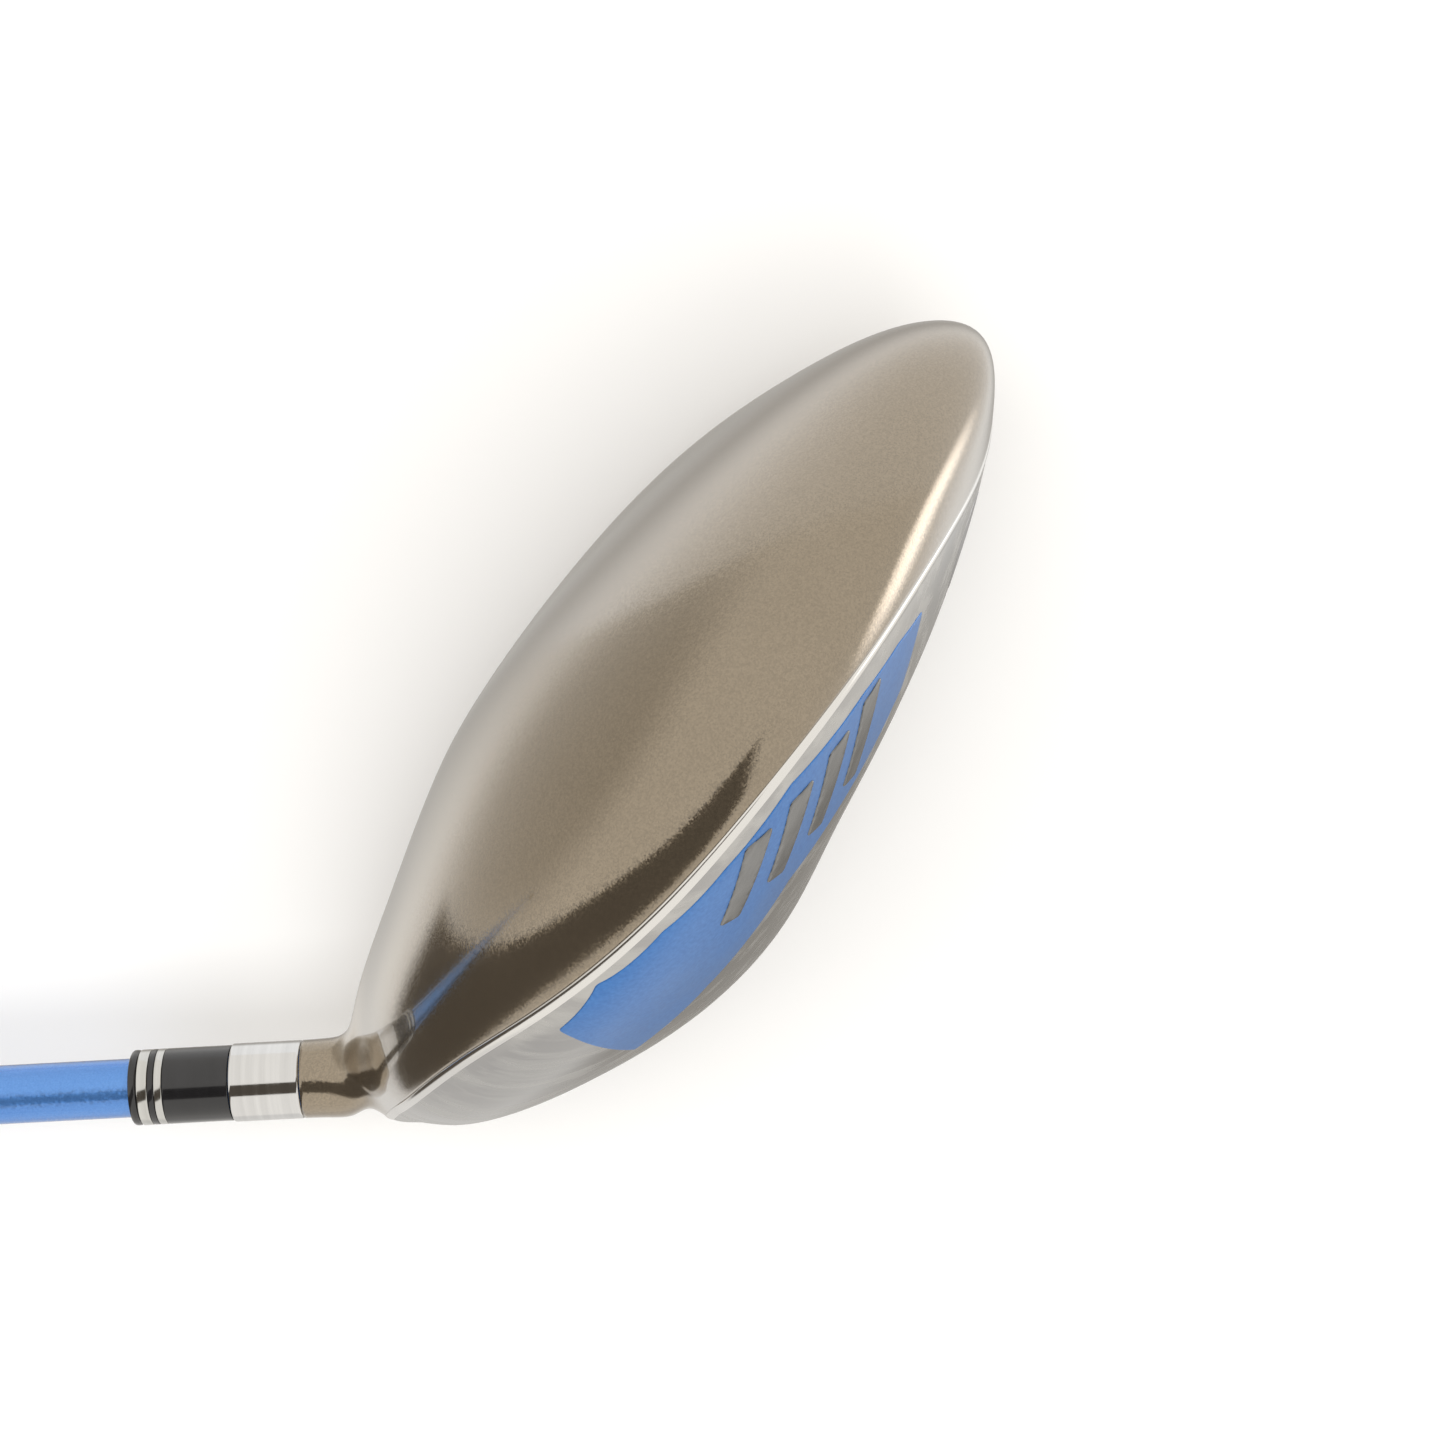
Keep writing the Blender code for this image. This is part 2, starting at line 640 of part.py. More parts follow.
def turned(name, outline, finish):
    """Ring or disc turned round the shaft's axis from a closed outline of (distance, radius)."""
    corners, rings = [], []
    for distance, radius in outline:
        if radius == 0.0:
            rings.append([len(corners)] * ROUND_SEGMENTS)
            corners.append(AXIS * distance)
            continue
        rings.append(list(range(len(corners), len(corners) + ROUND_SEGMENTS)))
        corners += [on_axis(distance, radius, math.tau * k / ROUND_SEGMENTS) for k in range(ROUND_SEGMENTS)]
    solid = []
    closes = outline[0][1] > 0.0
    for ring, after in zip(rings, rings[1:] + rings[:1] if closes else rings[1:]):
        for k in range(ROUND_SEGMENTS):
            n = (k + 1) % ROUND_SEGMENTS
            face = [ring[n], ring[k], after[k], after[n]]
            face = [c for i, c in enumerate(face) if c != face[i - 1]]
            if len(face) > 2:
                solid.append(tuple(face))
    return add_piece(name, corners, solid, finish)


def tube(name, start, end, inner, outer, finish):
    """Plain tube: its radii may be numbers or functions of the distance."""
    def at(radius, distance):
        return radius(distance) if callable(radius) else radius

    outline = [(start, at(outer, start)), (end, at(outer, end)), (end, at(inner, end)), (start, at(inner, start))]
    return turned(name, outline, finish)


def shaft_radius(distance):
    share = (distance - TIP_PARALLEL_END) / (SHAFT_BUTT - TIP_PARALLEL_END)
    return TIP_RADIUS + (BUTT_RADIUS - TIP_RADIUS) * max(0.0, share)


def shaft():
    stations = (SHAFT_TIP, TIP_PARALLEL_END, SHAFT_BUTT)
    outside = [(t, shaft_radius(t)) for t in stations]
    inside = [(t, shaft_radius(t) - SHAFT_WALL) for t in reversed(stations)]
    turned("shaft", outside + inside, "shaft_blue")
    plug = shaft_radius(0.0) - SHAFT_WALL - GAP
    turned("shaft_tip_plug", [(SHAFT_TIP, 0.0), (SHAFT_TIP, plug),
                              (SHAFT_TIP + TIP_PLUG_LENGTH, plug), (SHAFT_TIP + TIP_PLUG_LENGTH, 0.0)], "rubber")


def collar_and_ferrule():
    bore = TIP_RADIUS + GAP
    start = HOSEL_END + GAP
    tube("hosel_collar", start, start + COLLAR_LENGTH, bore, HOSEL_RADIUS, "chrome")
    start += COLLAR_LENGTH + GAP
    for name, length, colour in FERRULE_PIECES:
        tube(name, start, start + length, bore, FERRULE_RADIUS, colour)
        start += length + GAP


def grip_radius(distance):
    share = (distance - GRIP_MOUTH) / (CLUB_LENGTH - GRIP_MOUTH)
    return GRIP_MOUTH_RADIUS + (GRIP_BUTT_RADIUS - GRIP_MOUTH_RADIUS) * max(0.0, share) ** 1.15


def grip():
    def tape_inside(distance):
        return shaft_radius(distance) + GAP

    def tape_outside(distance):
        return tape_inside(distance) + TAPE_THICKNESS

    def sleeve_inside(distance):
        return tape_outside(distance) + GAP

    tube("grip_tape", GRIP_MOUTH + 4 * MM, SHAFT_BUTT - 2 * MM, tape_inside, tape_outside, "tape")
    stations = np.linspace(GRIP_MOUTH + GRIP_LIP, SHAFT_BUTT, 7)
    outline = [(GRIP_MOUTH, sleeve_inside(GRIP_MOUTH) + 0.6 * MM)]
    outline += [(t, grip_radius(t)) for t in stations]
    outline += [(SHAFT_BUTT, sleeve_inside(SHAFT_BUTT)), (GRIP_MOUTH, sleeve_inside(GRIP_MOUTH))]
    turned("grip_sleeve", outline, "grip")
    cap_start = SHAFT_BUTT + GAP
    edge = 1.2 * MM
    turned("grip_cap", [(cap_start, GRIP_BUTT_RADIUS), (CLUB_LENGTH - edge, GRIP_BUTT_RADIUS),
                        (CLUB_LENGTH, GRIP_BUTT_RADIUS - edge), (CLUB_LENGTH, VENT_RADIUS),
                        (cap_start, VENT_RADIUS)], "grip")


# ---------------------------------------------------------------- finishes and assembly

FINISHES = {                        # base colour, metallic, roughness
    "champagne": ((0.36, 0.29, 0.22), 0.85, 0.3),
    "silver": ((0.62, 0.61, 0.59), 1.0, 0.25),
    "titanium": ((0.45, 0.44, 0.42), 1.0, 0.4),
    "blue": ((0.07, 0.2, 0.62), 0.4, 0.4),
    "tungsten": ((0.25, 0.25, 0.26), 1.0, 0.35),
    "chrome": ((0.78, 0.78, 0.78), 1.0, 0.08),
    "black": ((0.01, 0.01, 0.011), 0.0, 0.15),
    "shaft_blue": ((0.12, 0.33, 0.85), 0.5, 0.25),
    "rubber": ((0.03, 0.03, 0.03), 0.0, 0.7),
    "tape": ((0.6, 0.55, 0.42), 0.0, 0.8),
    "grip": ((0.02, 0.02, 0.022), 0.0, 0.75),
    "glue": ((0.7, 0.62, 0.35), 0.0, 0.5),
}


def finish_material(name, finish):
    colour, metallic, roughness = FINISHES[finish]
    material = bpy.data.materials.new(name)
    material.use_nodes = True
    shader = material.node_tree.nodes["Principled BSDF"]
    shader.inputs["Base Color"].default_value = (*colour, 1.0)
    shader.inputs["Metallic"].default_value = metallic
    shader.inputs["Roughness"].default_value = roughness
    return material


def add_piece(name, corners, faces, finish):
    mesh = bpy.data.meshes.new(name)
    mesh.from_pydata([tuple(c) for c in corners], [], faces)
    mesh.validate()
    mesh.shade_smooth()
    mesh.set_sharp_from_angle(angle=math.radians(35.0))
    if finish is not None:
        mesh.materials.append(finish_material(name, finish))
    piece = bpy.data.objects.new(name, mesh)
    bpy.context.scene.collection.objects.link(piece)
    piece.parent = bpy.data.objects["club_pose"]
    return piece


def club_pose():
    """Empty that lays the club down: shaft along X, face towards the floor."""
    down = FRONT * math.cos(REST_ROLL) + SIDE * math.sin(REST_ROLL)
    rows = Matrix((-AXIS, down.cross(AXIS), -down))
    pose = bpy.data.objects.new("club_pose", None)
    bpy.context.scene.collection.objects.link(pose)
    pitch = Matrix.Rotation(REST_PITCH, 4, "Y")
    pose.matrix_world = Matrix.Translation(REST_SHIFT) @ pitch @ rows.to_4x4()


def build():
    clear_scene()
    club_pose()
    skin = Skin(SMOOTH_LEVEL)
    sole = head_shell("sole_body", skin, SOLE, SOLE_WALL, "silver")
    head_shell("crown_shell", skin, CROWN, CROWN_WALL, "champagne")
    head_shell("face_plate", skin, FACE, FACE_WALL, "titanium")
    hosel(skin)
    outside = skin.tree(SOLE)
    badge_and_bars(outside, sole)
    weight_plug(outside, sole)
    inside = skin.tree(SOLE, SOLE_WALL)
    for name, (start, end) in RIBS.items():
        sole_rib(name, inside, start, end)
    hot_melt_pad(inside)
    collar_and_ferrule()
    shaft()
    grip()


build()
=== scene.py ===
import math

import bmesh
import bpy
import numpy as np
from mathutils import Matrix, Vector
from mathutils.bvhtree import BVHTree


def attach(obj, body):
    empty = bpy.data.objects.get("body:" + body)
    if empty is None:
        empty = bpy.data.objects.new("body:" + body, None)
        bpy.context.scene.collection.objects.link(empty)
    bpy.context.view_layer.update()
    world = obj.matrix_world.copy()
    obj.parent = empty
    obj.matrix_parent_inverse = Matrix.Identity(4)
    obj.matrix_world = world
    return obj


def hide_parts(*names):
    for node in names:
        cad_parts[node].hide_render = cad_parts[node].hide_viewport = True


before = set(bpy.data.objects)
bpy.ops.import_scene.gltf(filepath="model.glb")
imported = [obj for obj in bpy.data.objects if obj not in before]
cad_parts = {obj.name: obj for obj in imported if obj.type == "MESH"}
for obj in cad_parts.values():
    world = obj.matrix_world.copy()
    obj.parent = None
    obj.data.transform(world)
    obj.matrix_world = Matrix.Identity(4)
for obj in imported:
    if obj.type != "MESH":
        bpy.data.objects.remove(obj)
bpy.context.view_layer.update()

MM = 0.001

# ---------------------------------------------------------------- the club's frame, as in the CAD

LIE = math.radians(60.0)
LOFT = math.radians(11.0)
AXIS = Vector((-math.cos(LIE), 0.0, math.sin(LIE)))
SIDE = Vector((math.sin(LIE), 0.0, math.cos(LIE)))
FRONT = Vector((0.0, 1.0, 0.0))
REST_ROLL = math.radians(2.0)
REST_PITCH = math.radians(-0.316)
REST_SHIFT = (530.63 * MM, -45.65 * MM, 19.33 * MM)

CROWN_TOP = (27.0, -12.0, 52.8)
SOLE_LOW = (31.0, -8.0, 0.0)
STATIONS = (                        # plan x and y of the widest line, its height, the seam's height
    (-27.6, -1.5, 36.0, 37.0),
    (-25.0, -9.0, 34.0, 37.0),
    (-19.5, -23.0, 31.5, 37.2),
    (-11.0, -41.0, 29.5, 36.6),
    (2.5, -59.0, 27.0, 34.0),
    (18.5, -74.0, 24.5, 28.6),
    (37.5, -82.5, 22.0, 22.6),
    (56.5, -81.0, 19.5, 17.8),
    (76.0, -70.5, 17.5, 13.2),
    (95.0, -52.0, 16.5, 9.4),
    (109.5, -32.0, 15.5, 7.2),
    (113.0, -13.0, 16.0, 9.0),
    (102.0, 2.5, 18.5, 13.5),
    (79.0, 12.0, 22.5, 22.5),
    (33.0, 17.5, 26.0, 26.0),
    (-9.0, 13.0, 28.0, 28.0),
    (-22.0, 6.0, 34.0, 35.0),
)
SECTORS_PER_STATION = 2
FACE_STATIONS = (13, 15)
FACE_EASE = 2.5
FACE_LINE = 16.0
FACE_MIDDLE = 26.0
FACE_ABOVE = 18.0
FACE_BELOW = 17.0
FACE_ROWS = 4
SIDE_STATIONS = (0, 6, 11, 14)
CROWN_WIDTH = (1.9, 2.1, 1.55, 2.3)
CROWN_HEIGHT = (3.0, 2.3, 1.6, 3.2)
SOLE_WIDTH = (1.3, 1.8, 2.6, 3.5)
SOLE_HEIGHT = (1.35, 1.3, 1.6, 3.0)
CROWN_FRACTIONS = (0.07, 0.22, 0.38, 0.53, 0.67, 0.79, 0.89, 0.95, 1.0)
SOLE_FRACTIONS = (0.07, 0.25, 0.44, 0.61, 0.75, 0.87, 0.95, 0.98, 1.0)
CALM_RADIUS = 0.6
CROWN_WALL = 1.0 * MM
SOLE_WALL = 1.7 * MM
FACE_WALL = 2.8 * MM
SMOOTH_LEVEL = 3

HOSEL_END = 57.5 * MM
HOSEL_RADIUS = 5.65 * MM
NECK_PROFILE = ((50.5 * MM, 6.0 * MM), (54.0 * MM, 5.7 * MM), (HOSEL_END, HOSEL_RADIUS))
NECK_SECTORS = 2
NECK_RINGS = (4, 7)

SHAFT_TIP = 49.5 * MM
SHAFT_BUTT = 1099.5 * MM
TIP_RADIUS = 4.25 * MM
TIP_PARALLEL_END = 102.0 * MM
BUTT_RADIUS = 7.6 * MM
SHAFT_WALL = 1.1 * MM
GAP = 0.3 * MM
FERRULE_RADIUS = 5.45 * MM
COLLAR_LENGTH = 9.9 * MM
FERRULE_PIECES = (
    ("ferrule_lower", 9.15 * MM, "black"),
    ("ferrule_ring_lower", 0.9 * MM, "silver"),
    ("ferrule_spacer", 0.6 * MM, "black"),
    ("ferrule_ring_upper", 1.3 * MM, "silver"),
    ("ferrule_cap", 1.0 * MM, "black"),
)
GRIP_MOUTH = 838.0 * MM
GRIP_LIP = 6.0 * MM
CLUB_LENGTH = 1105.0 * MM
GRIP_MOUTH_RADIUS = 9.0 * MM
GRIP_BUTT_RADIUS = 13.25 * MM
TAPE_THICKNESS = 0.4 * MM
VENT_RADIUS = 1.6 * MM

BADGE_CENTRE = Vector((45.0, -66.0, 12.0)) * MM
BADGE_NORMAL = Vector((-0.12, -0.45, -0.88)).normalized()
BADGE_OUTLINE = ((-31.5, 10.0), (-22.5, 15.2), (-12.0, 16.8), (-2.0, 15.2), (9.5, 11.3), (21.3, 0.4),
                 (27.3, -7.6), (31.0, -15.3), (21.4, -19.8), (10.0, -14.5), (-4.0, -7.5), (-21.5, -9.5),
                 (-35.5, -14.5))
BAR_OUTLINE = ((-10.0, 6.5), (-8.5, 3.5), (4.0, 10.8), (0.8, 13.8))
BAR_STEP = (6.4, -4.8)
BAR_COUNT = 4
PLUG_CENTRE = Vector((86.0, -27.0, 3.0)) * MM
PLUG_NORMAL = Vector((0.2, -0.15, -0.97)).normalized()
PLUG_RADIUS = 6.5

# ---------------------------------------------------------------- details of the finished surfaces

INLAY_PITCH = 0.9                   # mm
INLAY_EDGE = 0.16                   # width of the rounded edge of a plate, mm
BADGE_TOP = 0.10                    # heights over the sole, mm
BAR_TOP = 0.26
PLUG_TOP = 0.05
STRIP_WIDTH = 1.35 * MM             # bright edge of the sole beside the paint
STRIP_RISE = 0.12 * MM
SCORE_LINES = (12.0, 17.0, 22.0, 27.0, 32.0, 37.0)
SCORE_HALF = 0.45
SCORE_DEPTH = 0.22 * MM
SCORE_ENDS = (-2.0, 66.0)


def closed_spline(rows, per_row):
    """Periodic cubic spline through the rows, with per_row samples from each row to the next."""
    rows = np.asarray(rows, dtype=float)
    count = len(rows)
    identity = np.eye(count)
    system = 4.0 * identity + np.roll(identity, 1, axis=1) + np.roll(identity, -1, axis=1)
    control = np.linalg.solve(system, 6.0 * rows)
    samples = []
    for i in range(count):
        a, b, c, d = (control[(i + k) % count] for k in (-1, 0, 1, 2))
        for step in range(per_row):
            t = step / per_row
            samples.append(((1 - t) ** 3 * a + (3 * t ** 3 - 6 * t ** 2 + 4) * b
                            + (-3 * t ** 3 + 3 * t ** 2 + 3 * t + 1) * c + t ** 3 * d) / 6.0)
    return np.array(samples)


def around(values):
    """Four values, one for each side of the head, eased from station to station."""
    stops = list(SIDE_STATIONS) + [SIDE_STATIONS[0] + len(STATIONS)]
    result = []
    for station in range(len(STATIONS)):
        k = max(i for i in range(4) if stops[i] <= station)
        t = (station - stops[k]) / (stops[k + 1] - stops[k])
        ease = 0.5 - 0.5 * math.cos(math.pi * t)
        result.append(values[k] + (values[(k + 1) % 4] - values[k]) * ease)
    return result


def evenly_along(points, fractions):
    """Points at the given fractions of a polyline's length."""
    steps = np.linalg.norm(np.diff(points, axis=0), axis=1)
    length = np.concatenate([[0.0], np.cumsum(steps)])
    targets = np.asarray(fractions) * length[-1]
    return np.stack([np.interp(targets, length, points[:, k]) for k in range(3)], axis=1)


# ---------------------------------------------------------------- head: one cage, four regions

CROWN, SOLE, FACE, NECK = range(4)


def sector_table():
    """One row per sector: plan x and y, widest height, seam height and the four exponents."""
    exponents = [around(v) for v in (CROWN_WIDTH, CROWN_HEIGHT, SOLE_WIDTH, SOLE_HEIGHT)]
    rows = [station + extra for station, extra in zip(STATIONS, zip(*exponents))]
    return closed_spline(rows, SECTORS_PER_STATION)


def full_profile(sector):
    """Dense profile on one sector, from the crown's top over the widest line to the sole's low point."""
    x, y, widest = sector[:3]
    sweep = np.linspace(0.0, math.pi / 2, 300)
    halves = []
    for pole, width, height in ((CROWN_TOP, sector[4], sector[5]), (SOLE_LOW, sector[6], sector[7])):
        reach = np.sin(sweep) ** (2.0 / width)
        rise = np.cos(sweep) ** (2.0 / height)
        halves.append(np.stack([pole[0] + (x - pole[0]) * reach,
                                pole[1] + (y - pole[1]) * reach,
                                widest + (pole[2] - widest) * rise], axis=1))
    return np.concatenate([halves[0], halves[1][-2::-1]])


def cut_profile(points, high, low):
    """The stretch of a profile between two heights, in order from the crown's side."""
    inside = points[(points[:, 2] < high) & (points[:, 2] > low)]
    falling = -points[:, 2]
    ends = [[np.interp(-z, falling, points[:, k]) for k in range(3)] for z in (high, low)]
    return np.vstack([ends[0], inside, ends[1]])


def front_weight(index):
    """1 on the face's sectors, easing to 0 on the sides of the head."""
    first, last = (s * SECTORS_PER_STATION for s in FACE_STATIONS)
    outside = abs(index - 0.5 * (first + last)) - 0.5 * (last - first)
    return float(np.clip(1.0 - outside / (FACE_EASE * SECTORS_PER_STATION), 0.0, 1.0))


def lean_back(points, index):
    """Shear the front of the head back by the loft."""
    outward = np.clip((points[:, 1] - CROWN_TOP[1]) / (FACE_LINE - CROWN_TOP[1]), 0.0, 1.0)
    leaned = points.copy()
    leaned[:, 1] -= front_weight(index) * outward * math.tan(LOFT) * (points[:, 2] - FACE_MIDDLE)
    return leaned


def calm_pole(rings, fractions):
    """Near a pole keep only the low harmonics round each ring, so that the surface is smooth there."""
    pole = rings[:, 0].mean(axis=0)
    orders = np.arange(rings.shape[0] // 2 + 1)
    flat_order = np.abs(orders - 1)
    high_order = np.where(orders == 0, 0, np.abs(orders - 2))
    for j, fraction in enumerate(fractions):
        damp = min(1.0, fraction / CALM_RADIUS)
        waves = np.fft.rfft(rings[:, j] - pole, axis=0)
        waves[:, :2] *= (damp ** flat_order)[:, None]
        waves[:, 2] *= damp ** high_order
        rings[:, j] = pole + np.fft.irfft(waves, n=rings.shape[0], axis=0)
    return rings


def head_rings():
    """Crown rings and sole rings, from the pole outwards, and the face's columns from top to bottom."""
    first, last = (s * SECTORS_PER_STATION for s in FACE_STATIONS)
    crown, sole, face = [], [], {}
    for i, sector in enumerate(sector_table()):
        points = full_profile(sector)
        high = low = sector[3]
        if first < i < last:
            arch = math.sqrt(1.0 - (2.0 * (i - first) / (last - first) - 1.0) ** 2)
            high = sector[3] + FACE_ABOVE * arch
            low = sector[3] - FACE_BELOW * arch
            column = cut_profile(points, high, low)
            face[i] = lean_back(evenly_along(column, np.linspace(0, 1, FACE_ROWS + 1)), i)
        upper = cut_profile(points, CROWN_TOP[2], high)
        lower = cut_profile(points, low, SOLE_LOW[2])[::-1]
        crown.append(lean_back(evenly_along(upper, (0.0,) + CROWN_FRACTIONS), i))
        sole.append(lean_back(evenly_along(lower, (0.0,) + SOLE_FRACTIONS), i))
    crown = calm_pole(np.array(crown), (0.0,) + CROWN_FRACTIONS)
    sole = calm_pole(np.array(sole), (0.0,) + SOLE_FRACTIONS)
    return crown[:, 1:], sole[:, 1:], face


def on_axis(distance, radius, angle):
    """Point round the shaft's axis: angle 0 is on the heel side, 90 degrees at the front."""
    out = FRONT * math.sin(angle) - SIDE * math.cos(angle)
    return AXIS * distance + out * radius


def neck_loop():
    """Cage positions (sector, ring) round the neck's foot, from the heel side towards the front."""
    inner, outer = NECK_RINGS
    half = NECK_SECTORS
    loop = [(-i, outer) for i in range(0, half)]
    loop += [(-half, j) for j in range(outer, inner, -1)]
    loop += [(i, inner) for i in range(-half, half)]
    loop += [(half, j) for j in range(inner, outer)]
    loop += [(i, outer) for i in range(half, 0, -1)]
    return loop


def head_cage():
    """Corner points, faces and region tags of the quad cage for the whole outside of the head."""
    crown, sole, face = head_rings()
    count = len(crown)
    points, faces, tags, index = [], [], [], {}

    def corner(key, position):
        if key not in index:
            index[key] = len(points)
            points.append(Vector(position) * MM)
        return index[key]

    def crown_corner(i, j):
        i %= count
        return corner(("crown", i, j), crown[i, j])

    def sole_corner(i, j):
        i %= count
        if j == len(SOLE_FRACTIONS) - 1 and i not in face:
            return crown_corner(i, len(CROWN_FRACTIONS) - 1)
        return corner(("sole", i, j), sole[i, j])

    def face_corner(i, row):
        if i not in face or row == 0:
            return crown_corner(i, len(CROWN_FRACTIONS) - 1)
        if row == FACE_ROWS:
            return sole_corner(i, len(SOLE_FRACTIONS) - 1)
        return corner(("face", i, row), face[i][row])

    def add_face(corners, tag):
        ring = [c for k, c in enumerate(corners) if c != corners[k - 1]]
        faces.append(ring[::-1])
        tags.append(tag)

    inner, outer = NECK_RINGS
    for i in range(count):
        signed = i if i < count // 2 else i - count
        for j in range(len(CROWN_FRACTIONS) - 1):
            if -NECK_SECTORS <= signed < NECK_SECTORS and inner <= j < outer:
                continue
            add_face([crown_corner(i, j), crown_corner(i + 1, j), crown_corner(i + 1, j + 1),
                      crown_corner(i, j + 1)], CROWN)
        for j in range(len(SOLE_FRACTIONS) - 1):
            add_face([sole_corner(i, j), sole_corner(i, j + 1), sole_corner(i + 1, j + 1),
                      sole_corner(i + 1, j)], SOLE)
        if i in face or (i + 1) in face:
            for row in range(FACE_ROWS):
                add_face([face_corner(i, row), face_corner(i + 1, row), face_corner(i + 1, row + 1),
                          face_corner(i, row + 1)], FACE)
    add_face([crown_corner(i, 0) for i in range(count)][::-1], CROWN)
    add_face([sole_corner(i, 0) for i in range(count)], SOLE)

    loop = neck_loop()
    swell = 6.0 / (4.0 + 2.0 * math.cos(math.tau / len(loop)))
    rows = [[crown_corner(i, j) for i, j in loop]]
    for distance, radius in NECK_PROFILE:
        rows.append([
            corner(("neck", distance, k), on_axis(distance, radius * swell, math.tau * k / len(loop)) / MM)
            for k in range(len(loop))
        ])
    for below, above in zip(rows, rows[1:]):
        for k in range(len(loop)):
            after = (k + 1) % len(loop)
            add_face([below[k], below[after], above[after], above[k]], NECK)
    return points, faces, tags


class Skin:
    """The smoothed outside of the head: points, normals, and faces with their region tags."""

    def __init__(self, level):
        points, faces, tags = head_cage()
        mesh = bpy.data.meshes.new("head_cage")
        mesh.from_pydata([tuple(p) for p in points], [], faces)
        for tag in (CROWN, SOLE, FACE, NECK):
            mesh.materials.append(bpy.data.materials.new(f"region_{tag}"))
        mesh.polygons.foreach_set("material_index", tags)
        cage = bpy.data.objects.new("head_cage", mesh)
        bpy.context.scene.collection.objects.link(cage)
        smooth = cage.modifiers.new("smooth", "SUBSURF")
        smooth.levels = level
        smooth.render_levels = level
        evaluated = cage.evaluated_get(bpy.context.evaluated_depsgraph_get())
        result = evaluated.to_mesh()
        self.points = [v.co.copy() for v in result.vertices]
        self.normals = [v.normal.copy() for v in result.vertices]
        self.faces = [tuple(p.vertices) for p in result.polygons]
        self.tags = [p.material_index for p in result.polygons]
        evaluated.to_mesh_clear()
        bpy.data.objects.remove(cage)

    def region(self, *tags):
        return [face for face, own in zip(self.faces, self.tags) if own in tags]

    def tree(self, tag):
        return BVHTree.FromPolygons(self.points, self.region(tag))


def open_edges(faces):
    """Directed edges that only one face uses."""
    edges = {(a, b) for face in faces for a, b in zip(face, face[1:] + face[:1])}
    return [(a, b) for a, b in edges if (b, a) not in edges]


# ---------------------------------------------------------------- pieces


def club_pose():
    """Matrix that lays the club down on its face, with the shaft along X."""
    down = FRONT * math.cos(REST_ROLL) + SIDE * math.sin(REST_ROLL)
    rows = Matrix((-AXIS, down.cross(AXIS), -down)).to_4x4()
    return Matrix.Translation(REST_SHIFT) @ Matrix.Rotation(REST_PITCH, 4, "Y") @ rows


POSE = club_pose()


def add_piece(name, corners, faces, material, slot, *replaced):
    """Mesh piece, given in the club's frame, laid down with the club."""
    mesh = bpy.data.meshes.new(name)
    mesh.from_pydata([tuple(POSE @ Vector(c)) for c in corners], [], faces)
    mesh.validate()
    mesh.shade_smooth()
    mesh.materials.append(material)
    piece = bpy.data.objects.new(name, mesh)
    bpy.context.scene.collection.objects.link(piece)
    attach(piece, "root")
    if replaced:
        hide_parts(*replaced)
    return piece


def thicken(piece, wall):
    shell = piece.modifiers.new("wall", "SOLIDIFY")
    shell.thickness = wall
    shell.offset = -1.0
    return shell


def distances_to(points, line):
    """Distance from each point to a closed or open run of points."""
    points = np.array(points)
    line = np.array(line)
    return np.array([np.sqrt(((line - p) ** 2).sum(axis=1).min()) for p in points])


def compact(skin, faces):
    """The points, normals and faces of one region, numbered from 0."""
    order = {}
    for face in faces:
        for v in face:
            order.setdefault(v, len(order))
    points = [skin.points[v].copy() for v in order]
    normals = [skin.normals[v] for v in order]
    return points, normals, [tuple(order[v] for v in face) for face in faces]


def painted_shell(skin, material):
    points, _, faces = compact(skin, skin.region(CROWN, NECK))
    piece = add_piece("painted_crown", points, faces, material, "crown_paint", "crown_shell", "hosel")
    thicken(piece, CROWN_WALL)
    return piece


def seam_points(skin):
    """Points of the line where the sole meets the rest of the head, with points between them."""
    dense = []
    for a, b in open_edges(skin.region(SOLE)):
        for t in np.linspace(0.0, 1.0, 6):
            dense.append(tuple(skin.points[a].lerp(skin.points[b], t)))
    return dense


def sole_skin(skin, material):
    points, normals, faces = compact(skin, skin.region(SOLE))
    reach = distances_to(points, seam_points(skin))
    for k, away in enumerate(reach):
        if away < STRIP_WIDTH:
            points[k] += normals[k] * STRIP_RISE * math.sin(math.pi * away / STRIP_WIDTH) ** 0.7
    piece = add_piece("sole", points, faces, material, "sole_metal", "sole_body")
    rim = piece.data.attributes.new("rim", "FLOAT", "POINT")
    rim.data.foreach_set("value", (reach / MM).astype(np.float32))
    thicken(piece, SOLE_WALL)
    return piece


def face_skin(skin, material):
    """Face plate with its score lines sunk into it."""
    points, _, faces = compact(skin, skin.region(FACE))
    bm = bmesh.new()
    corners = [bm.verts.new(p) for p in points]
    for face in faces:
        bm.faces.new([corners[v] for v in face])
    offsets = (-SCORE_HALF, -SCORE_HALF / 3, SCORE_HALF / 3, SCORE_HALF)
    for height in SCORE_LINES:
        for offset in offsets:
            plane = Vector((0.0, 0.0, height + offset)) * MM
            bmesh.ops.bisect_plane(bm, geom=bm.verts[:] + bm.edges[:] + bm.faces[:], dist=1e-7,
                                   plane_co=plane, plane_no=Vector((0.0, 0.0, 1.0)))
    bm.normal_update()
    for vert in bm.verts:
        off_line = min(abs(vert.co.z / MM - height) for height in SCORE_LINES)
        if off_line < SCORE_HALF / 2 and SCORE_ENDS[0] < vert.co.x / MM < SCORE_ENDS[1]:
            vert.co -= vert.normal * SCORE_DEPTH
    bm.verts.index_update()
    points = [v.co.copy() for v in bm.verts]
    faces = [tuple(v.index for v in face.verts) for face in bm.faces]
    bm.free()
    piece = add_piece("club_face", points, faces, material, "face_metal", "face_plate")
    thicken(piece, FACE_WALL)
    return piece


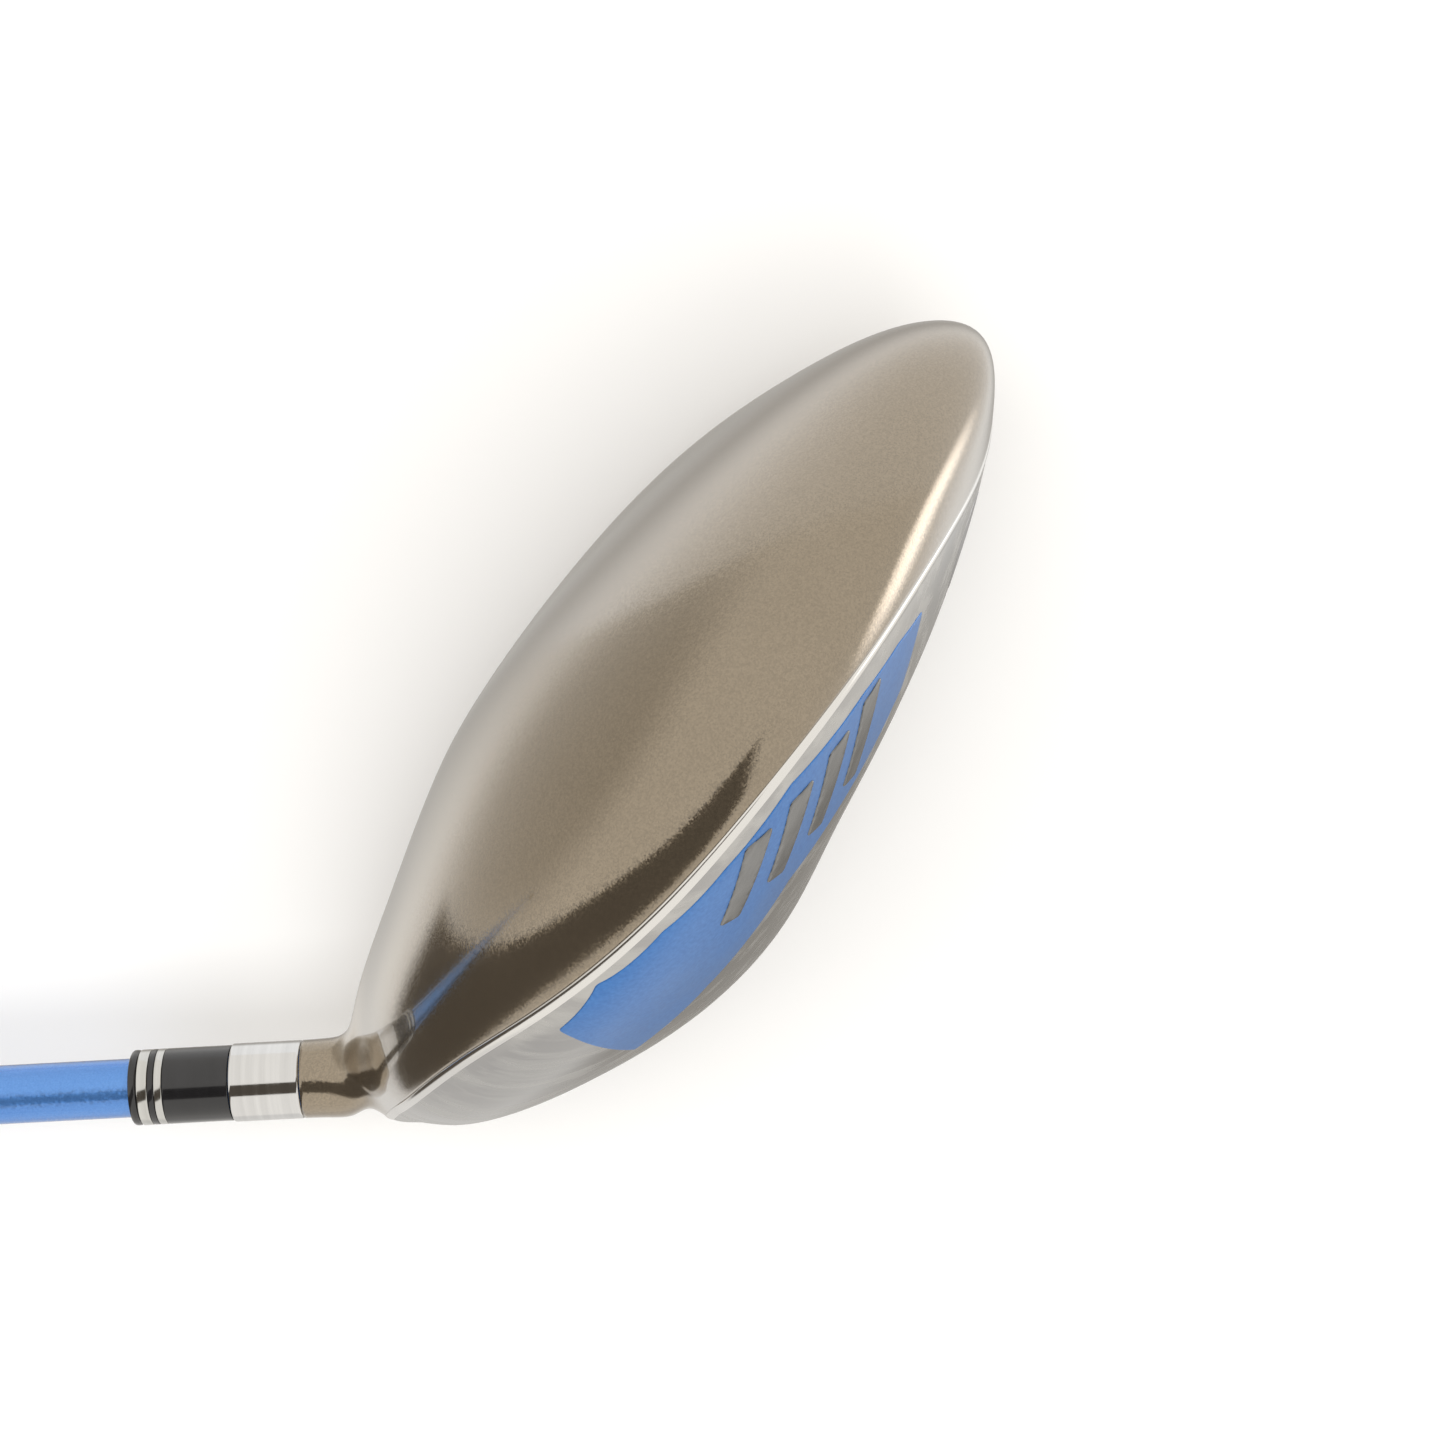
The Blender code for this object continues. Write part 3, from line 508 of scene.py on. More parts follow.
def rounded(outline, radius, steps=4):
    """Closed outline with its corners rounded off."""
    outline = [np.array(p, dtype=float) for p in outline]
    result = []
    for k, corner in enumerate(outline):
        before, after = outline[k - 1] - corner, outline[(k + 1) % len(outline)] - corner
        cuts = [min(radius, 0.45 * np.linalg.norm(d)) / np.linalg.norm(d) for d in (before, after)]
        start, end = corner + before * cuts[0], corner + after * cuts[1]
        for t in np.linspace(0.0, 1.0, steps + 1):
            result.append(tuple((1 - t) ** 2 * start + 2 * t * (1 - t) * corner + t ** 2 * end))
    return result


def counter_clockwise(outline):
    area = sum(a[0] * b[1] - b[0] * a[1] for a, b in zip(outline, outline[1:] + outline[:1]))
    return list(outline) if area > 0 else list(reversed(outline))


def gridded(outline, pitch):
    """Faces of the outline, cut along a square grid so that they can follow a curved surface."""
    bm = bmesh.new()
    bm.faces.new([bm.verts.new((x, y, 0.0)) for x, y in outline])
    for axis in (0, 1):
        low, high = min(p[axis] for p in outline), max(p[axis] for p in outline)
        normal = Vector((1.0, 0.0, 0.0)) if axis == 0 else Vector((0.0, 1.0, 0.0))
        for step in range(1, math.ceil((high - low) / pitch)):
            geometry = bm.verts[:] + bm.edges[:] + bm.faces[:]
            bmesh.ops.bisect_plane(bm, geom=geometry, dist=1e-4, plane_co=normal * (low + step * pitch),
                                   plane_no=normal)
    bmesh.ops.triangulate(bm, faces=[face for face in bm.faces if len(face.verts) > 4])
    bm.normal_update()
    bm.verts.index_update()
    points = [(v.co.x, v.co.y) for v in bm.verts]
    faces = []
    for face in bm.faces:
        ring = tuple(v.index for v in face.verts)
        faces.append(ring if face.normal.z > 0 else ring[::-1])
    bm.free()
    return points, faces


def inlay(name, tree, centre, normal, outline, top, bottom, material, slot, *replaced):
    """Plate that follows the head's surface, with a rounded upper edge."""
    across = (Vector((1.0, 0.0, 0.0)) - normal * normal.x).normalized()
    up = normal.cross(across)
    flat, faces = gridded(outline, INLAY_PITCH)
    rim = open_edges(faces)
    outward = {}
    for a, b in rim:
        along = np.subtract(flat[b], flat[a])
        side = np.array((along[1], -along[0])) / max(np.linalg.norm(along), 1e-9)
        for v in (a, b):
            outward[v] = outward.get(v, np.zeros(2)) + side

    def on_surface(place, height):
        start = centre + (across * place[0] + up * place[1]) * MM + normal * 60 * MM
        hit, facing, _, _ = tree.ray_cast(start, -normal)
        return hit + facing * height * MM

    corners = [on_surface(p, top) for p in flat]
    layers = [{v: v for v in outward}]
    for reach, fall in ((0.6, 0.15), (1.0, 0.6)):
        layer = {}
        for v, direction in outward.items():
            layer[v] = len(corners)
            push = direction / np.linalg.norm(direction) * INLAY_EDGE * reach
            corners.append(on_surface(np.array(flat[v]) + push, top - INLAY_EDGE * fall))
        layers.append(layer)
    under = {}
    for v, place in enumerate(flat):
        under[v] = len(corners)
        push = 0.0
        if v in outward:
            push = outward[v] / np.linalg.norm(outward[v]) * INLAY_EDGE
        corners.append(on_surface(np.array(place) + push, bottom))
    layers.append({v: under[v] for v in outward})
    solid = list(faces) + [tuple(under[v] for v in reversed(face)) for face in faces]
    for upper, lower in zip(layers, layers[1:]):
        for a, b in rim:
            solid.append((upper[b], upper[a], lower[a], lower[b]))
    piece = add_piece(name, corners, solid, material, slot, *replaced)
    weighted = piece.modifiers.new("normals", "WEIGHTED_NORMAL")
    weighted.weight = 90
    return piece


def badge_and_bars(tree, blue, bar_metal):
    place = (tree, BADGE_CENTRE, BADGE_NORMAL)
    panel = rounded(counter_clockwise(BADGE_OUTLINE), 0.5)
    inlay("sole_panel", *place, panel, BADGE_TOP, -0.6, blue, "badge_blue", "sole_badge")
    for k in range(BAR_COUNT):
        outline = counter_clockwise([(x + k * BAR_STEP[0], y + k * BAR_STEP[1]) for x, y in BAR_OUTLINE])
        inlay(f"panel_bar_{k + 1}", *place, rounded(outline, 0.5), BAR_TOP, -0.6, bar_metal, "bar_metal",
              f"sole_bar_{k + 1}")


def weight_plug(tree, metal):
    steps = [math.tau * k / 96 for k in range(96)]
    circle = [(PLUG_RADIUS * math.cos(a), PLUG_RADIUS * math.sin(a)) for a in steps]
    inlay("weight_plug", tree, PLUG_CENTRE, PLUG_NORMAL, circle, PLUG_TOP, -1.3, metal, "plug_metal",
          "toe_weight_plug")


def turned(name, outline, material, slot, *replaced, segments=96, shape=None):
    """Piece turned round the shaft's axis from a closed outline of (distance, radius)."""
    corners, rings = [], []
    for distance, radius in outline:
        if radius == 0.0:
            rings.append([len(corners)] * segments)
            corners.append(AXIS * distance)
            continue
        rings.append(list(range(len(corners), len(corners) + segments)))
        for k in range(segments):
            angle = math.tau * k / segments
            extra = shape(distance, radius, angle) if shape else 0.0
            corners.append(on_axis(distance, radius + extra, angle))
    solid = []
    closes = outline[0][1] > 0.0
    for ring, after in zip(rings, rings[1:] + rings[:1] if closes else rings[1:]):
        for k in range(segments):
            n = (k + 1) % segments
            face = [ring[n], ring[k], after[k], after[n]]
            face = [c for i, c in enumerate(face) if c != face[i - 1]]
            if len(face) > 2:
                solid.append(tuple(face))
    return add_piece(name, corners, solid, material, slot, *replaced)


def bevelled_tube(name, start, end, inner, outer, edge, *finish):
    outline = rounded([(start, outer), (end, outer), (end, inner), (start, inner)], edge)
    piece = turned(name, outline, *finish)
    piece.modifiers.new("normals", "WEIGHTED_NORMAL")
    return piece


def collar_and_ferrule(chrome, black, silver):
    bore = TIP_RADIUS + 0.02 * MM
    start = HOSEL_END + 0.15 * MM
    bevelled_tube("collar", start, start + COLLAR_LENGTH + 0.2 * MM, bore, HOSEL_RADIUS, 0.35 * MM,
                  chrome, "collar_chrome", "hosel_collar")
    start = HOSEL_END + GAP + COLLAR_LENGTH + GAP
    finishes = {"black": (black, "ferrule_black"), "silver": (silver, "ferrule_silver")}
    for name, length, colour in FERRULE_PIECES:
        edge = 0.6 * MM if name == "ferrule_cap" else 0.16 * MM
        grow = 0.12 * MM
        bevelled_tube(name + "_turned", start - grow, start + length + grow, bore, FERRULE_RADIUS, edge,
                      *finishes[colour], name)
        start += length + GAP


def shaft_radius(distance):
    share = (distance - TIP_PARALLEL_END) / (SHAFT_BUTT - TIP_PARALLEL_END)
    return TIP_RADIUS + (BUTT_RADIUS - TIP_RADIUS) * max(0.0, share)


def shaft(material):
    stations = np.concatenate([np.linspace(SHAFT_TIP, TIP_PARALLEL_END, 12),
                               np.linspace(TIP_PARALLEL_END, SHAFT_BUTT, 120)[1:]])
    outside = [(t, shaft_radius(t)) for t in stations]
    inside = [(t, shaft_radius(t) - SHAFT_WALL) for t in reversed(stations)]
    turned("shaft_tube", outside + inside, material, "shaft_blue", "shaft")


def grip_radius(distance):
    share = (distance - GRIP_MOUTH) / (CLUB_LENGTH - GRIP_MOUTH)
    return GRIP_MOUTH_RADIUS + (GRIP_BUTT_RADIUS - GRIP_MOUTH_RADIUS) * max(0.0, share) ** 1.15


GROOVE_TURNS = 18                   # crossing grooves round the grip
GROOVE_DEPTH = 0.45 * MM
GROOVE_SLANT = 3.2                  # turns of a groove over the grip's length
BAND_STEP = 44.0 * MM
BAND_WIDTH = 2.6 * MM
PLAIN_MOUTH = 14.0 * MM             # lengths at the grip's ends that carry no pattern
PLAIN_BUTT = 9.0 * MM
PATTERN_FADE = 1.2 * MM
GROOVE_HALF = 0.16                  # half width of a groove, as a share of the step between grooves


def groove(phase, half):
    """1 in the middle of a groove, falling to 0 at its sides, for a phase counted in grooves."""
    off = abs(phase - round(phase))
    return max(0.0, 1.0 - (off / half) ** 2)


def grip_pattern(distance, radius, angle):
    """Depth of the grip's crossing grooves and plain bands at one place."""
    along = (distance - GRIP_MOUTH) / (CLUB_LENGTH - GRIP_MOUTH)
    if radius < grip_radius(distance) - 0.5 * MM:
        return 0.0
    from_ends = min(distance - GRIP_MOUTH - PLAIN_MOUTH, SHAFT_BUTT - PLAIN_BUTT - distance)
    plain = min(1.0, max(0.0, from_ends / PATTERN_FADE))
    turn = angle / math.tau
    crossing = max(groove(GROOVE_TURNS * (turn + GROOVE_SLANT * along), GROOVE_HALF),
                   groove(GROOVE_TURNS * (turn - GROOVE_SLANT * along), GROOVE_HALF))
    near_band = abs((distance - GRIP_MOUTH) % BAND_STEP - BAND_STEP / 2)
    on_band = min(1.0, max(0.0, (near_band - BAND_WIDTH / 2) / (0.5 * MM)))
    edge = max(0.0, 1.0 - abs(near_band - BAND_WIDTH / 2 - 0.6 * MM) / (0.5 * MM))
    return -GROOVE_DEPTH * plain * max(crossing * on_band, 0.8 * edge)


def grip(material):
    stations = np.linspace(GRIP_MOUTH + GRIP_LIP, SHAFT_BUTT - 0.8 * MM, 620)
    lip = [(GRIP_MOUTH + GRIP_LIP * (1 - math.cos(a)),
            shaft_radius(GRIP_MOUTH) + 0.8 * MM
            + (grip_radius(GRIP_MOUTH + GRIP_LIP) - shaft_radius(GRIP_MOUTH) - 0.8 * MM) * math.sin(a))
           for a in np.linspace(0.0, math.pi / 2, 10)[:-1]]
    outline = lip + [(t, grip_radius(t)) for t in stations]
    outline += [(SHAFT_BUTT - 0.3 * MM, grip_radius(SHAFT_BUTT) - 0.15 * MM),
                (SHAFT_BUTT, grip_radius(SHAFT_BUTT) - 0.6 * MM)]
    bore = TAPE_THICKNESS + 2 * GAP
    outline += [(t, shaft_radius(t) + bore) for t in np.linspace(SHAFT_BUTT, GRIP_MOUTH, 20)]
    turned("grip_sleeve_moulded", outline, material, "grip_rubber", "grip_sleeve", segments=216,
           shape=grip_pattern)
    start = SHAFT_BUTT + 0.1 * MM
    reach = GRIP_BUTT_RADIUS
    end = CLUB_LENGTH
    cap = [(start, reach - 0.5 * MM), (start + 0.4 * MM, reach), (end - 2.0 * MM, reach),
           (end - 0.9 * MM, reach - 0.4 * MM), (end - 0.25 * MM, reach - 1.5 * MM), (end, reach - 3.2 * MM),
           (end, 6.2 * MM), (end - 0.5 * MM, 5.9 * MM), (end - 0.5 * MM, 5.3 * MM), (end, 5.0 * MM),
           (end, VENT_RADIUS + 0.3 * MM), (end - 0.3 * MM, VENT_RADIUS), (start, VENT_RADIUS)]
    turned("grip_cap_moulded", rounded(cap, 0.25 * MM, 3), material, "grip_rubber", "grip_cap")


# ---------------------------------------------------------------- materials


class Nodes:
    """Short calls for building a node tree."""

    def __init__(self, tree):
        self.tree = tree

    def node(self, kind, **settings):
        made = self.tree.nodes.new("ShaderNode" + kind)
        for key, value in settings.items():
            setattr(made, key, value)
        return made

    def feed(self, socket, value):
        if isinstance(value, bpy.types.NodeSocket):
            self.tree.links.new(value, socket)
        else:
            socket.default_value = value

    def ramp(self, value, *stops):
        made = self.node("ValToRGB")
        self.feed(made.inputs["Fac"], value)
        elements = made.color_ramp.elements
        while len(elements) < len(stops):
            elements.new(0.5)
        for element, (position, shade) in zip(elements, stops):
            element.position = position
            element.color = (*shade, 1.0) if hasattr(shade, "__len__") else (shade, shade, shade, 1.0)
        return made.outputs["Color"]

    def sum(self, operation, a, b=0.0, c=0.0):
        made = self.node("Math", operation=operation)
        for socket, value in zip(made.inputs, (a, b, c)):
            self.feed(socket, value)
        return made.outputs[0]

    def vector(self, operation, a, b):
        made = self.node("VectorMath", operation=operation)
        self.feed(made.inputs[0], a)
        self.feed(made.inputs["Scale"] if operation == "SCALE" else made.inputs[1], b)
        return made.outputs["Value"] if operation in ("DISTANCE", "DOT_PRODUCT") else made.outputs["Vector"]

    def mix(self, factor, a, b):
        made = self.node("Mix", data_type="RGBA")
        for name, value in (("Factor", factor), ("A", a), ("B", b)):
            socket = [s for s in made.inputs if s.name == name and s.enabled][0]
            if name != "Factor" and isinstance(value, tuple) and len(value) == 3:
                value = (*value, 1.0)
            self.feed(socket, value)
        return [s for s in made.outputs if s.enabled][0]

    def bump(self, height, strength, distance):
        made = self.node("Bump")
        made.inputs["Strength"].default_value = strength
        made.inputs["Distance"].default_value = distance
        self.feed(made.inputs["Height"], height)
        return made.outputs["Normal"]


class Finish(Nodes):
    """Material with a Principled BSDF, and textures placed in the object's own coordinates."""

    def __init__(self, name, **sockets):
        self.material = bpy.data.materials.new(name)
        self.material.use_nodes = True
        super().__init__(self.material.node_tree)
        self.shader = self.tree.nodes["Principled BSDF"]
        for key, value in sockets.items():
            self.shader.inputs[key.replace("_", " ")].default_value = value
        self.place = self.node("TexCoord").outputs["Object"]

    def to(self, name, value):
        self.feed(self.shader.inputs[name], value)

    def stretched(self, scale):
        mapping = self.node("Mapping")
        self.feed(mapping.inputs["Vector"], self.place)
        mapping.inputs["Scale"].default_value = scale
        return mapping.outputs["Vector"]

    def noise(self, scale, stretch=(1.0, 1.0, 1.0), detail=3.0, roughness=0.55):
        made = self.node("TexNoise")
        self.feed(made.inputs["Vector"], self.stretched(stretch))
        made.inputs["Scale"].default_value = scale
        made.inputs["Detail"].default_value = detail
        made.inputs["Roughness"].default_value = roughness
        return made.outputs["Fac"]

    def cells(self, scale):
        made = self.node("TexVoronoi")
        self.feed(made.inputs["Vector"], self.place)
        made.inputs["Scale"].default_value = scale
        return made.outputs["Color"]


def flake_normal(finish, scale, strength):
    """Normal that tilts a little from flake to flake."""
    tilt = finish.vector("SUBTRACT", finish.cells(scale), (0.5, 0.5, 0.5))
    tilt = finish.vector("SCALE", tilt, strength)
    normal = finish.node("NewGeometry").outputs["Normal"]
    return finish.vector("NORMALIZE", finish.vector("ADD", normal, tilt), (0.0, 0.0, 0.0))


def crown_paint():
    finish = Finish("champagne_paint", Metallic=0.9, Coat_Weight=1.0, Coat_Roughness=0.03, Coat_IOR=1.5)
    clouds = finish.noise(14.0, detail=4.0)
    base = finish.ramp(clouds, (0.3, (0.30, 0.245, 0.175)), (0.7, (0.35, 0.29, 0.215)))
    flakes = finish.ramp(finish.cells(5200.0), (0.2, 0.9), (0.8, 1.1))
    colour = finish.node("Mix", data_type="RGBA", blend_type="MULTIPLY")
    sockets = [s for s in colour.inputs if s.enabled]
    finish.feed(sockets[0], 1.0)
    finish.feed(sockets[1], base)
    finish.feed(sockets[2], flakes)
    finish.to("Base Color", [s for s in colour.outputs if s.enabled][0])
    finish.to("Roughness", finish.ramp(finish.noise(60.0), (0.3, 0.12), (0.7, 0.17)))
    finish.to("Normal", flake_normal(finish, 5200.0, 0.05))
    return finish.material


def sole_metal():
    finish = Finish("sole_metal", Metallic=1.0)
    rim = finish.node("Attribute", attribute_name="rim").outputs["Fac"]
    strip = finish.sum("LESS_THAN", rim, STRIP_WIDTH / MM)
    scuffs = finish.ramp(finish.noise(260.0, (0.12, 1.0, 1.0), detail=6.0), (0.42, 0.0), (0.62, 1.0))
    wear = finish.ramp(finish.noise(22.0, detail=5.0), (0.35, 0.2), (0.65, 1.0))
    body = finish.mix(scuffs, (0.47, 0.465, 0.46), (0.60, 0.595, 0.58))
    finish.to("Base Color", finish.mix(strip, body, (0.86, 0.85, 0.83)))
    rough = finish.sum("MULTIPLY_ADD", scuffs, 0.16, 0.17)
    finish.to("Roughness", finish.mix(strip, rough, (0.14, 0.14, 0.14)))
    height = finish.sum("MULTIPLY", scuffs, wear)
    finish.to("Normal", finish.bump(height, 0.25, 0.00003))
    return finish.material


def face_metal():
    finish = Finish("face_metal", Metallic=1.0)
    lines = finish.noise(900.0, (1.0, 0.04, 1.0), detail=4.0)
    finish.to("Base Color", finish.ramp(lines, (0.3, (0.40, 0.40, 0.40)), (0.7, (0.56, 0.55, 0.54))))
    finish.to("Roughness", finish.ramp(lines, (0.3, 0.3), (0.7, 0.46)))
    finish.to("Normal", finish.bump(lines, 0.3, 0.00003))
    return finish.material


def panel_blue():
    finish = Finish("panel_blue", Metallic=0.55, Coat_Weight=0.35, Coat_Roughness=0.25)
    grain = finish.noise(1800.0, detail=2.0)
    base = finish.ramp(grain, (0.3, (0.035, 0.17, 0.50)), (0.7, (0.055, 0.22, 0.58)))
    finish.to("Base Color", base)
    finish.to("Roughness", finish.ramp(finish.noise(90.0), (0.3, 0.36), (0.7, 0.48)))
    finish.to("Normal", finish.bump(grain, 0.2, 0.00002))
    return finish.material


def bar_metal():
    finish = Finish("bar_metal", Metallic=1.0)
    grain = finish.noise(700.0, (1.0, 0.1, 1.0), detail=3.0)
    finish.to("Base Color", finish.ramp(grain, (0.3, (0.19, 0.19, 0.19)), (0.7, (0.27, 0.27, 0.27))))
    finish.to("Roughness", finish.ramp(grain, (0.3, 0.16), (0.7, 0.26)))
    finish.to("Normal", finish.bump(grain, 0.12, 0.00002))
    return finish.material


def turned_metal(name, dark, light, smooth, rough, scale):
    """Polished metal with fine marks that run round the axis."""
    finish = Finish(name, Metallic=1.0)
    marks = finish.noise(scale, (1.0, 0.02, 0.02), detail=5.0)
    finish.to("Base Color", finish.ramp(marks, (0.3, dark), (0.7, light)))
    finish.to("Roughness", finish.ramp(marks, (0.3, smooth), (0.7, rough)))
    finish.to("Normal", finish.bump(marks, 0.15, 0.00002))
    return finish.material


def gloss_black():
    finish = Finish("gloss_black", Coat_Weight=0.6, Coat_Roughness=0.04)
    smudge = finish.noise(240.0, (1.0, 0.3, 0.3), detail=5.0)
    finish.to("Base Color", finish.ramp(smudge, (0.3, (0.006, 0.006, 0.007)), (0.7, (0.014, 0.014, 0.016))))
    finish.to("Roughness", finish.ramp(smudge, (0.3, 0.1), (0.7, 0.22)))
    finish.to("Normal", finish.bump(smudge, 0.05, 0.00003))
    return finish.material


def shaft_paint():
    finish = Finish("shaft_paint", Metallic=0.75, Coat_Weight=1.0, Coat_Roughness=0.05)
    streaks = finish.noise(420.0, (0.02, 1.0, 1.0), detail=4.0)
    fine = finish.noise(3800.0, detail=1.0)
    blend = finish.mix(0.35, streaks, fine)
    finish.to("Base Color", finish.ramp(blend, (0.35, (0.085, 0.26, 0.70)), (0.65, (0.14, 0.36, 0.84))))
    finish.to("Roughness", finish.ramp(streaks, (0.3, 0.26), (0.7, 0.38)))
    finish.to("Normal", flake_normal(finish, 3000.0, 0.15))
    return finish.material


def grip_rubber():
    finish = Finish("grip_rubber")
    grain = finish.noise(1500.0, detail=4.0)
    dust = finish.noise(35.0, detail=5.0)
    finish.to("Base Color", finish.ramp(dust, (0.3, (0.018, 0.018, 0.019)), (0.75, (0.04, 0.04, 0.042))))
    finish.to("Roughness", finish.ramp(grain, (0.3, 0.62), (0.7, 0.85)))
    finish.to("Normal", finish.bump(grain, 0.35, 0.00008))
    return finish.material


def plain_grain(name, dark, light, rough, scale, depth, metallic=0.0):
    """Matt or metallic surface with an even grain, for the pieces inside the club."""
    finish = Finish(name, Metallic=metallic)
    grain = finish.noise(scale, detail=4.0)
    finish.to("Base Color", finish.ramp(grain, (0.3, dark), (0.7, light)))
    finish.to("Roughness", finish.ramp(grain, (0.3, rough), (0.7, rough + 0.15)))
    finish.to("Normal", finish.bump(grain, 0.4, depth))
    return finish.material


def dress_kept_nodes():
    """Materials of the CAD nodes that stay, all of them inside the club."""
    bead_blasted = plain_grain("bead_blasted", (0.34, 0.33, 0.32), (0.46, 0.45, 0.43), 0.42, 900.0, 0.00005,
                               metallic=1.0)
    glue = plain_grain("hot_melt_glue", (0.62, 0.52, 0.26), (0.74, 0.66, 0.40), 0.35, 60.0, 0.0003)
    rubber = plain_grain("plug_rubber", (0.02, 0.02, 0.02), (0.045, 0.045, 0.045), 0.7, 700.0, 0.0001)
    crepe = plain_grain("crepe_tape", (0.58, 0.50, 0.34), (0.70, 0.63, 0.48), 0.75, 1100.0, 0.00008)
    for material, names in ((bead_blasted, ("sole_rib_front", "sole_rib_rear")), (glue, ("hot_melt_pad",)),
                            (rubber, ("shaft_tip_plug",)), (crepe, ("grip_tape",))):
        for name in names:
            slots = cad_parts[name].data.materials
            slots.clear()
            slots.append(material)


# ---------------------------------------------------------------- studio

VIEW_RIGHT = 60.7 * MM              # from the end of the hosel to the middle of the view
VIEW_UP = 51.8 * MM
CAMERA_DISTANCE = 400.0 * MM
CAMERA_DIP = math.radians(10.0)
CAMERA_ROLL = math.radians(3.0)
CAMERA_SENSOR = 36.0                # mm
CAMERA_LENS = 68.56
FLOOR_HALF = 6.0                    # m


def camera():
    forward = FRONT * math.cos(CAMERA_DIP) - SIDE * math.sin(CAMERA_DIP)
    flat_right = -AXIS
    flat_up = SIDE * math.cos(CAMERA_DIP) + FRONT * math.sin(CAMERA_DIP)
    right = flat_right * math.cos(CAMERA_ROLL) - flat_up * math.sin(CAMERA_ROLL)
    up = flat_up * math.cos(CAMERA_ROLL) + flat_right * math.sin(CAMERA_ROLL)
    aim = AXIS * HOSEL_END + right * VIEW_RIGHT + up * VIEW_UP
    place = aim - forward * CAMERA_DISTANCE
    data = bpy.data.cameras.new("camera")
    data.sensor_width = CAMERA_SENSOR
    data.lens = CAMERA_LENS
    data.clip_start = 0.01
    made = bpy.data.objects.new("camera", data)
    bpy.context.scene.collection.objects.link(made)
    turn = Matrix((right, up, -forward)).transposed().to_4x4()
    made.matrix_world = POSE @ Matrix.Translation(place) @ turn
    bpy.context.scene.camera = made


def floor():
    """Pale sheet under the club. Polished surfaces don't mirror it: they show the surround instead."""
    corners = [(x * FLOOR_HALF, y * FLOOR_HALF, 0.0) for x, y in ((-1, -1), (1, -1), (1, 1), (-1, 1))]
    mesh = bpy.data.meshes.new("floor")
    mesh.from_pydata(corners, [], [(0, 1, 2, 3)])
    finish = Finish("floor_sheet", Specular_IOR_Level=0.1)
    finish.to("Base Color", finish.ramp(finish.noise(3.0), (0.3, 0.93), (0.7, 0.95)))
    finish.to("Roughness", 0.9)
    mesh.materials.append(finish.material)
    made = bpy.data.objects.new("floor", mesh)
    bpy.context.scene.collection.objects.link(made)
    made.visible_glossy = False


def sky_direction(azimuth, polar):
    """Unit vector: azimuth from +X towards +Y, polar angle from straight up, in degrees."""
    a, p = math.radians(azimuth), math.radians(polar)
    return (math.cos(a) * math.sin(p), math.sin(a) * math.sin(p), math.cos(p))


WALL = (0.92, 0.89, 0.84)
SKY_PATCHES = (                     # azimuth, polar angle, inner and outer radius in degrees, colour
    (155.0, 112.0, 22.0, 48.0, (0.60, 0.57, 0.52)),
    (252.0, 130.0, 24.0, 36.0, (0.74, 0.72, 0.69)),
    (60.0, 142.0, 46.0, 49.0, (0.98, 0.97, 0.95)),
    (0.0, 180.0, 14.0, 34.0, (0.46, 0.44, 0.41)),
    (298.0, 147.0, 9.0, 20.0, (0.34, 0.32, 0.29)),
)
DARK_SIDE = (208.0, 55.0)           # middle of the dark strip that runs from overhead past the horizon
DARK_HALF = (13.0, 16.0)
DARK_REACH = (80.0, 88.0)
DARK_SHADE = (0.085, 0.072, 0.058)
KEY_PATCH = (357.0, 119.0, 3.0, 18.0, (3.2, 3.1, 3.0))


